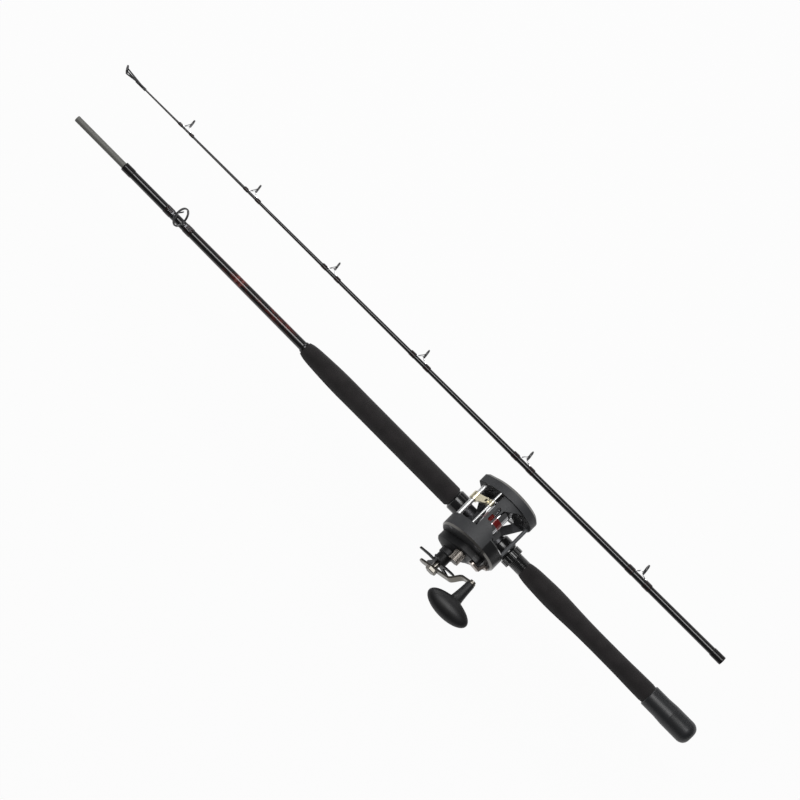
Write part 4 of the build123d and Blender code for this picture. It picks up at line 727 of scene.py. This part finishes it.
class ROD_OT_blanks(bpy.types.Operator):
    """Both lacquered blanks and the ground spigot, as smooth tapered tubes"""
    bl_idname = "rod.blanks"
    bl_label = "Blanks"

    def execute(self, context):
        rod = context.scene.rod_settings
        x = np.linspace(BLANK_START, BUTT_LENGTH, BLANK_RINGS)
        outer = np.stack([x, blank_radius(x)], -1)
        inner = [(BUTT_LENGTH, SPIGOT_ROOT_R), (SPIGOT_SPAN[0], SPIGOT_ROOT_R),
                 (BLANK_START, blank_radius(BLANK_START) - BLANK_WALL)]
        skin = turned(np.concatenate([outer, inner]), BUTT, rod.sides)
        lacquer = blank_finish(rod, "butt_lacquer", 0.1)
        new_piece("butt_blank_skin", *skin, "butt_section", "blank", lacquer, "butt_blank")
        x = np.linspace(SOCKET_CHAMFER[0], TIP_LENGTH, BLANK_RINGS)
        outer = np.stack([x, tip_radius(x)], -1)
        inner = [(TIP_LENGTH, 0), (SOCKET_DEPTH + SOCKET_R, 0), (SOCKET_DEPTH, SOCKET_R), (0, SOCKET_R),
                 (0, TIP_RADII[0] - SOCKET_CHAMFER[1])]
        skin = turned(np.concatenate([outer, inner]), TIP, rod.sides)
        lacquer = blank_finish(rod, "tip_lacquer", 0.11)
        new_piece("tip_blank_skin", *skin, "tip", "blank", lacquer, "tip_blank")
        low, high = SPIGOT_SPAN
        profile = rounded([(low, SPIGOT_BORE_R), (low, SPIGOT_ROOT_R), (BUTT_LENGTH, SPIGOT_ROOT_R),
                           (BUTT_LENGTH, SPIGOT_R), (high - SPIGOT_CHAMFER, SPIGOT_R),
                           (high, SPIGOT_R - SPIGOT_CHAMFER), (high, SPIGOT_BORE_R)], 0.3)
        skin = turned(profile, BUTT, rod.sides)
        new_piece("spigot_skin", *skin, "butt_section", "spigot", spigot_finish(rod), "ferrule_spigot")
        return {"FINISHED"}


class ROD_OT_grips(bpy.types.Operator):
    """Foam grips, rubber butt cap and winding check, turned from smooth profiles"""
    bl_idname = "rod.grips"
    bl_label = "Grips and Butt Cap"

    def execute(self, context):
        rod = context.scene.rod_settings
        foam = foam_finish(rod)
        start, end = CAP_LENGTH, SEAT_SPAN[0]
        outer = curve([(start + share * (end - start), radius) for share, radius in REAR_GRIP], 90)
        first, last = outer[0, 1], outer[-1, 1]
        shoulder = [(end - 0.9, last - 0.1), (end, last - 1.0)]
        profile = np.concatenate([[(start, first - 0.8)], outer[2:-2], shoulder, on_blank(end, start)])
        skin = turned(profile, BUTT, rod.sides)
        rear = new_piece("rear_grip_foam", *skin, "butt_section", "foam", foam, "rear_grip")
        start, end = SEAT_SPAN[1], GRIP_END
        straight = start + FORE_GRIP_STRAIGHT
        tail = [(start + along, radius) for along, radius in FORE_GRIP_REAR]
        middle = np.linspace(start + 8.0, straight - 45.0, 20)
        middle = np.stack([middle, np.full_like(middle, FORE_GRIP_R)], -1)
        nose = [(straight + along, radius) for along, radius in FORE_GRIP_NOSE]
        nose = curve([*nose, (end, FORE_GRIP_END_R)], 70)
        skin = turned(np.concatenate([tail, middle, nose, on_blank(end, start)]), BUTT, rod.sides)
        fore = new_piece("fore_grip_foam", *skin, "butt_section", "foam", foam, "fore_grip")
        depth, flat, rise = CAP_DOME
        angle = np.linspace(np.pi, np.pi / 2, 16)
        dome = np.stack([depth + depth * np.cos(angle), flat + rise * np.sin(angle)], -1)
        side = rounded([*CAP_SIDE, *on_blank(CAP_LENGTH, BLANK_START)], 1.2)
        skin = turned(np.concatenate([[(0.0, 0.0)], dome, side, [(BLANK_START, 0.0)]]), BUTT, rod.sides)
        new_piece("butt_cap_rubber", *skin, "butt_section", "cap_rubber", cap_finish(rod), "butt_cap")
        end = GRIP_END + CHECK_LENGTH
        ring = rounded([(GRIP_END, CHECK_BORE_R), (GRIP_END, CHECK_R), (GRIP_END + CHECK_LENGTH / 2, CHECK_R),
                        (end, blank_radius(GRIP_END) + 0.4), *on_blank(end)], 0.5)
        metal = metal_finish("check_metal", (0.05, 0.05, 0.052), 0.35)
        skin = turned(ring, BUTT, rod.sides)
        new_piece("check_ring", *skin, "butt_section", "check", metal, "winding_check")
        return {"FINISHED"}


class ROD_OT_seat(bpy.types.Operator):
    """Reel seat, hoods, nut and foot"""
    bl_idname = "rod.seat"
    bl_label = "Reel Seat"

    def execute(self, context):
        dress(seat_finish(), "reel_seat")
        dress(nut_finish(), "sliding_hood", "lock_nut")
        dress(metal_finish("foot_metal", (0.055, 0.055, 0.058), 0.4), "reel_foot", "foot_screws")
        return {"FINISHED"}


def binding(low, high, radius_at, thick, foot, foot_width, place, sides, trimmed=False):
    """Thread wrap from low to high on a blank, with its distance along and its trim bands as arrays.

    The radius over the blank rises over the taper at either end, as a quarter of a circle, to the thread's
    thickness, and further over the guide's foot by a bell-shaped swell round angle zero.
    """
    x = np.concatenate([np.linspace(low, low + TAPER, 8),
                        np.linspace(low + TAPER + 0.4, high - TAPER - 0.4, 24),
                        np.linspace(high - TAPER, high, 8)])
    rise = np.clip(np.minimum(x - low, high - x) / TAPER, 0, 1)
    rise = np.sqrt(1 - (1 - rise) ** 2)
    outer = np.stack([x, radius_at(x) + EDGE + rise * (thick - EDGE)], -1)
    inner = np.array([(high, radius_at(high)), (low, radius_at(low))])
    profile = np.concatenate([outer, inner])
    angle = np.linspace(0, 2 * np.pi, sides, endpoint=False)
    arc = np.abs((angle + np.pi) % (2 * np.pi) - np.pi) * radius_at(low)
    swell = np.concatenate([rise, [0, 0]])[:, None] * foot * np.exp(-(arc / (FOOT_SPREAD * foot_width)) ** 2)
    points, faces = turned(profile, place, sides, swell)
    along = np.repeat(profile[:, 0], sides)
    near = np.minimum(along - low, high - along)
    trim = ((near > TRIM_SPAN[0]) & (near < TRIM_SPAN[1]) & trimmed).astype(np.float32)
    return points, faces, along, trim


def bind(name, wraps, body, finish, node):
    """One piece from several wraps, with the attributes that the thread's finish reads."""
    points, faces = join([wrap[:2] for wrap in wraps])
    piece = new_piece(name, points, faces, body, "thread", finish, node)
    for column, key in ((2, "along_mm"), (3, "trim")):
        values = np.concatenate([wrap[column] for wrap in wraps])
        attribute = piece.data.attributes.new(key, "FLOAT", "POINT")
        attribute.data.foreach_set("value", values.astype(np.float32))


def guide_wraps(guide, radius_at, place, sides):
    """The two wraps over a guide's feet."""
    inner = guide.reach * (1 - FOOT_SHARE) + guide.wire_r * 4
    outer = guide.reach + TAPER
    spans = [(guide.x - outer, guide.x - inner), (guide.x + inner, guide.x + outer)]
    return [binding(low, high, radius_at, WRAP, guide.foot, guide.foot_width, place, sides, True)
            for low, high in spans]


class ROD_OT_wraps(bpy.types.Operator):
    """Thread wraps over the guides' feet and at the joint"""
    bl_idname = "rod.wraps"
    bl_label = "Thread Wraps"

    def execute(self, context):
        rod = context.scene.rod_settings
        finish = thread_finish(rod)
        wraps = guide_wraps(BUTT_GUIDE, blank_radius, BUTT, rod.sides)
        length, thick = SHOULDER_WRAP
        wraps.append(binding(BUTT_LENGTH - length, BUTT_LENGTH, blank_radius, thick, 0, 1, BUTT, rod.sides))
        bind("butt_bindings", wraps, "butt_section", finish, "butt_wraps")
        length, thick = SOCKET_WRAP
        wraps = [binding(0.0, length, tip_radius, thick, 0, 1, TIP, rod.sides)]
        for guide in TIP_GUIDES:
            wraps += guide_wraps(guide, tip_radius, TIP, rod.sides)
        bind("tip_bindings", wraps, "tip", finish, "tip_wraps")
        return {"FINISHED"}


def lining(eye, place):
    """Lining of an eye: a rounded section turned about the leaning axis through the eye's centre."""
    origin, a, b = place
    turn = np.radians(eye.lean)
    centre = origin + eye.x * a + eye.height * b
    axis = np.cos(turn) * a - np.sin(turn) * b
    up = np.sin(turn) * a + np.cos(turn) * b
    outer = eye.ring_r - RING_HOLDER
    inner = outer - RING_LINING
    half = RING_WIDTH / 2
    section = rounded([(-half, outer), (half, outer), (half, inner), (-half, inner)], 0.9, 6)
    return turned(section, (centre, axis, up), 64)


class ROD_OT_guides(bpy.types.Operator):
    """Wire guide frames and their polished ring linings"""
    bl_idname = "rod.guides"
    bl_label = "Guides"

    def execute(self, context):
        dress(wire_finish("butt_wire", BUTT, (0.07, 0.07, 0.073)), "butt_guide_frame")
        frames = [f"guide_{n}_frame" for n in range(1, len(TIP_GUIDES) + 1)]
        dress(wire_finish("tip_wire", TIP, (0.82, 0.82, 0.83)), *frames)
        dress(metal_finish("dark_wire", (0.05, 0.05, 0.052), 0.35), "tip_top_frame")
        finish = lining_finish()
        eye = lining(BUTT_GUIDE, BUTT)
        new_piece("butt_eye", *eye, "butt_section", "guide_lining", finish, "butt_guide_ring")
        eyes = join([lining(eye, TIP) for eye in (*TIP_GUIDES, TIP_TOP)])
        new_piece("tip_eyes", *eyes, "tip", "guide_lining", finish, "tip_guide_rings")
        return {"FINISHED"}


class ROD_OT_housing(bpy.types.Operator):
    """Reel frame, plates, cover and screws"""
    bl_idname = "rod.housing"
    bl_label = "Reel Housing"

    def execute(self, context):
        reel = context.scene.reel_settings
        dress(coat_finish("frame_coat", reel, False), "reel_frame")
        dress(coat_finish("plate_coat", reel, True), "tail_plate", "gear_plate")
        dress(coat_finish("cover_coat", reel, False, 0.35), "gear_cover")
        dress(metal_finish("screw_metal", (0.30, 0.30, 0.31), 0.3), "plate_screws")
        inner = metal_finish("inner_metal", (0.45, 0.45, 0.46), 0.35)
        dress(inner, "bridge_plate", "spool_bearings", "one_way_clutch", "idler_pin", "clutch_yoke",
              "click_ratchet", "spool_shaft", "worm_shaft")
        dress(metal_finish("gear_brass", (0.62, 0.45, 0.2), 0.3), "main_gear", "pinion_gear", "worm_bushes")
        nylon = metal_finish("gear_nylon", (0.09, 0.09, 0.095), 0.5, 0.0)
        dress(nylon, "level_wind_drive_gear", "idler_gear", "worm_gear", "clicker_button")
        dress(washer_finish(), "drag_washers")
        return {"FINISHED"}


class ROD_OT_level_wind(bpy.types.Operator):
    """Bright bars, the line guide and the spool"""
    bl_idname = "rod.level_wind"
    bl_label = "Level Wind and Spool"

    def execute(self, context):
        reel = context.scene.reel_settings
        bars = metal_finish("bright_bar", (0.58, 0.58, 0.58), 0.42, stretch=(1.0, 0.05, 1.0),
                            relief=0.0000005, spread=0.06)
        dress(bars, "worm_shield", "guide_bar", "level_wind_pawl", "pawl_cap")
        gold = metal_finish("pale_gold", reel.guide_colour, 0.3, grain=150.0, relief=0.000004, spread=0.1)
        dress(gold, "line_guide")
        dress(spool_finish(reel), "spool")
        return {"FINISHED"}


def crank_arm():
    """Points and faces of the crank arm, a flat strip swept along its stepped middle line.

    Seen from the side, the line's level eases from the hub's to the knob's over the bend as
    t ** 2 * (3 - 2 * t). A section of eight corners stands square to it at every point, as wide as the hull
    of the hub and the round ends.
    """
    hub_half, end_half = ARM_HALVES
    low = end_half - ARM_SHORT_END
    turn = np.linspace(0.12, np.pi / 2, 12)
    reach = np.concatenate([low - end_half * np.cos(turn), np.linspace(low, ARM_REACH, 90)[1:-1],
                            ARM_REACH + end_half * np.cos(turn[::-1])])
    past = np.clip(np.maximum(low - reach, reach - ARM_REACH), 0, None)
    half = np.minimum(np.interp(reach, [low, 0, ARM_REACH], [end_half, hub_half, end_half]),
                      np.sqrt(end_half ** 2 - past ** 2))
    share = np.clip((reach - ARM_BEND[0]) / (ARM_BEND[1] - ARM_BEND[0]), 0, 1)
    level = ARM_LEVELS[0] + (ARM_LEVELS[1] - ARM_LEVELS[0]) * share ** 2 * (3 - 2 * share)
    slope = np.gradient(level, reach)[:, None]
    steep = np.sqrt(1 + slope ** 2)
    side = np.array([1, 1, 1, 1, -1, -1, -1, -1])
    inset = np.array([1, 0, 0, 1, 1, 0, 0, 1])
    face = np.array([1, 1, -1, -1, -1, -1, 1, 1])
    drop = 1 - inset
    across = side * (half[:, None] - ARM_EDGE * inset)
    out = face * (ARM_THICK / 2 - ARM_EDGE * drop)
    spoke = np.array([np.cos(CRANK_ANGLE), 0, np.sin(CRANK_ANGLE)])
    width = np.array([-np.sin(CRANK_ANGLE), 0, np.cos(CRANK_ANGLE)])
    points = (KNOB_AXIS - ARM_REACH * spoke + (reach[:, None] - slope / steep * out)[..., None] * spoke
              + (level[:, None] + out / steep)[..., None] * ACROSS + across[..., None] * width)
    cap = np.array([[0, 1, 2, 3], [0, 3, 4, 7], [4, 5, 6, 7]])
    walls = grid_faces(len(reach), len(side), False)
    faces = np.concatenate([cap[:, ::-1], walls, cap + (len(reach) - 1) * len(side)])
    return points.reshape(-1, 3), faces


def oval_knob():
    """Points and faces of the knob, a round neck that runs into an oval set across its spindle.

    Both half widths at a distance along are the sixth root of the sum of the sixth powers of the neck's
    radius and of the ellipsoid's half width there. The neck fades out towards the oval's middle as
    t ** 2 * (3 - 2 * t).
    """
    low = KNOB_SPAN[0]
    long_half, deep_half, wide_half = KNOB_HALVES
    start = KNOB_CENTRE_Y - deep_half
    turn = np.linspace(0, np.pi, 65)[:-1]
    y = np.concatenate([np.linspace(low, start, 24, endpoint=False),
                        KNOB_CENTRE_Y - deep_half * np.cos(turn)])
    neck = curve(list(zip((low, low + 14.0, start, start + 5.0), KNOB_NECK_R)), 60)
    fade = np.clip((KNOB_CENTRE_Y - y) / KNOB_FADE, 0, 1)
    stem = np.interp(y, neck[:, 0], neck[:, 1]) * fade ** 2 * (3 - 2 * fade)
    oval = np.sqrt(np.clip(1 - ((y - KNOB_CENTRE_Y) / deep_half) ** 2, 0, 1))
    angle = np.linspace(0, 2 * np.pi, KNOB_SIDES, endpoint=False)
    x_half, z_half = ((stem ** 6 + (half * oval) ** 6) ** (1 / 6) for half in (long_half, wide_half))
    points = np.stack([KNOB_AXIS[0] + x_half[:, None] * np.cos(angle), np.repeat(y[:, None], KNOB_SIDES, 1),
                       KNOB_AXIS[2] + z_half[:, None] * np.sin(angle)], -1).reshape(-1, 3)
    ends = np.array([[KNOB_AXIS[0], end, KNOB_AXIS[2]] for end in KNOB_SPAN])
    here = np.arange(KNOB_SIDES)
    following = (here + 1) % KNOB_SIDES
    last_ring = (len(y) - 1) * KNOB_SIDES
    near, far = (np.full(KNOB_SIDES, len(points) + k) for k in range(2))
    faces = np.concatenate([grid_faces(len(y), KNOB_SIDES, False)[:, ::-1],
                            np.stack([following, here, near, near], -1),
                            np.stack([last_ring + here, last_ring + following, far, far], -1)])
    return np.concatenate([points, ends]), faces


class ROD_OT_handle(bpy.types.Operator):
    """Crank, star wheel, cast control, lever and the oval knob"""
    bl_idname = "rod.handle"
    bl_label = "Handle"

    def execute(self, context):
        reel = context.scene.reel_settings
        steel = metal_finish("crank_steel", (0.165, 0.155, 0.137), 0.3, stretch=(0.1, 1.0, 1.0),
                             relief=0.000002)
        dress(steel, "handle_nut", "knob_spindle", "gear_sleeve")
        new_piece("crank_strip", *crank_arm(), "crank", "steel", steel, "handle_arm")
        black = metal_finish("star_black", (0.009, 0.009, 0.0095), 0.42, 0.0, relief=0.000004, shine=0.12)
        dress(black, "star_wheel")
        dress(metal_finish("cap_bronze", (0.17, 0.155, 0.14), 0.36, relief=0.000006), "cast_control_cap")
        dress(metal_finish("lever_chrome", (0.30, 0.26, 0.235), 0.28, relief=0.000005), "free_spool_lever")
        new_piece("knob_oval", *oval_knob(), "knob", "knob_rubber", knob_finish(reel), "handle_knob")
        return {"FINISHED"}


def placing(axes, place):
    """Matrix that turns an object's own axes to three given ones and moves it to a place."""
    turn = Matrix([[*row, 0.0] for row in np.stack(axes, -1).tolist()] + [[0, 0, 0, 1]])
    return Matrix.Translation(place.tolist()) @ turn


class ROD_OT_stage(bpy.types.Operator):
    """Pale floor, soft studio light and the camera"""
    bl_idname = "rod.stage"
    bl_label = "Stage"

    def execute(self, context):
        stage = context.scene.stage_settings
        scene = context.scene
        scene.view_settings.view_transform = "Standard"
        signs = ((-1, -1), (1, -1), (1, 1), (-1, 1))
        corners = [(x * FLOOR_HALF, y * FLOOR_HALF, -stage.floor_drop) for x, y in signs]
        mesh = bpy.data.meshes.new("floor")
        mesh.from_pydata(corners, [], [(0, 1, 2, 3)])
        finish = Finish("pale_floor", Roughness=0.9, Base_Color=stage.floor_colour)
        rays = finish.add("ShaderNodeLightPath")
        paths = [Value(finish, rays.socket.node.outputs[name]) for name in
                 ("Is Camera Ray", "Is Glossy Ray", "Is Transmission Ray")]
        seen = paths[0].math("MAXIMUM", paths[0].math("MAXIMUM", paths[0], paths[1]), paths[2])
        glow = finish.add("ShaderNodeEmission", None, {"Color": (1, 1, 1, 1), "Strength": 1.0})
        matt = Value(finish, finish.shader.outputs[0])
        surface = finish.add("ShaderNodeMixShader", None, {0: seen * FLOOR_GLOW, 1: matt, 2: glow})
        finish.put(finish.tree.nodes["Material Output"].inputs["Surface"], surface)
        mesh.materials.append(finish.material)
        floor = bpy.data.objects.new("floor", mesh)
        scene.collection.objects.link(floor)
        world = bpy.data.worlds.new("studio")
        world.use_nodes = True
        background = world.node_tree.nodes["Background"].inputs
        background["Color"].default_value = (1, 1, 1, 1)
        background["Strength"].default_value = WORLD_STRENGTH
        scene.world = world
        along = BUTT[1]
        cosine, sine = CAMERA_TURN
        right = -cosine * along + sine * CAMERA_SIDE
        up = sine * along + cosine * CAMERA_SIDE
        lens = bpy.data.cameras.new("camera")
        lens.sensor_width = SENSOR_WIDTH
        lens.lens = SENSOR_WIDTH * stage.camera_distance / stage.view_width
        lens.clip_end = CLIP_END
        camera = bpy.data.objects.new("camera", lens)
        camera.matrix_world = placing((right, up, CAMERA_BACK), TARGET + CAMERA_BACK * stage.camera_distance)
        scene.collection.objects.link(camera)
        scene.camera = camera
        for name, place, size, share in LAMPS:
            light = bpy.data.lights.new(name, "AREA")
            light.shape = "RECTANGLE"
            light.size, light.size_y = size
            light.energy = stage.key_power * share
            lamp = bpy.data.objects.new(name, light)
            aim = np.array(place) - TARGET
            z = aim / np.linalg.norm(aim)
            x = np.cross(ACROSS, z)
            x = x / np.linalg.norm(x)
            lamp.matrix_world = placing((x, np.cross(z, x), z), np.array(place))
            scene.collection.objects.link(lamp)
        return {"FINISHED"}


class ROD_PT_panel(bpy.types.Panel):
    """Settings and steps in the sidebar"""
    bl_idname = "ROD_PT_panel"
    bl_label = "Rod and Reel"
    bl_space_type = "VIEW_3D"
    bl_region_type = "UI"
    bl_category = "Rod"

    def draw(self, context):
        for name in GROUPS:
            group = getattr(context.scene, name)
            for key in group.__annotations__:
                self.layout.prop(group, key)
        for step in STEPS:
            self.layout.operator(step.bl_idname)


GROUPS = {"rod_settings": RodSettings, "reel_settings": ReelSettings, "stage_settings": StageSettings}
STEPS = (ROD_OT_stage, ROD_OT_blanks, ROD_OT_grips, ROD_OT_seat, ROD_OT_wraps, ROD_OT_guides,
         ROD_OT_housing, ROD_OT_level_wind, ROD_OT_handle)


def register():
    for cls in (*GROUPS.values(), *STEPS, ROD_PT_panel):
        bpy.utils.register_class(cls)
    for name, cls in GROUPS.items():
        setattr(bpy.types.Scene, name, bpy.props.PointerProperty(type=cls))


def unregister():
    for name in GROUPS:
        delattr(bpy.types.Scene, name)
    for cls in reversed((*GROUPS.values(), *STEPS, ROD_PT_panel)):
        bpy.utils.unregister_class(cls)


def main():
    register()
    for step in STEPS:
        group, name = step.bl_idname.split(".")
        getattr(getattr(bpy.ops, group), name)()


if __name__ == "__main__":
    main()
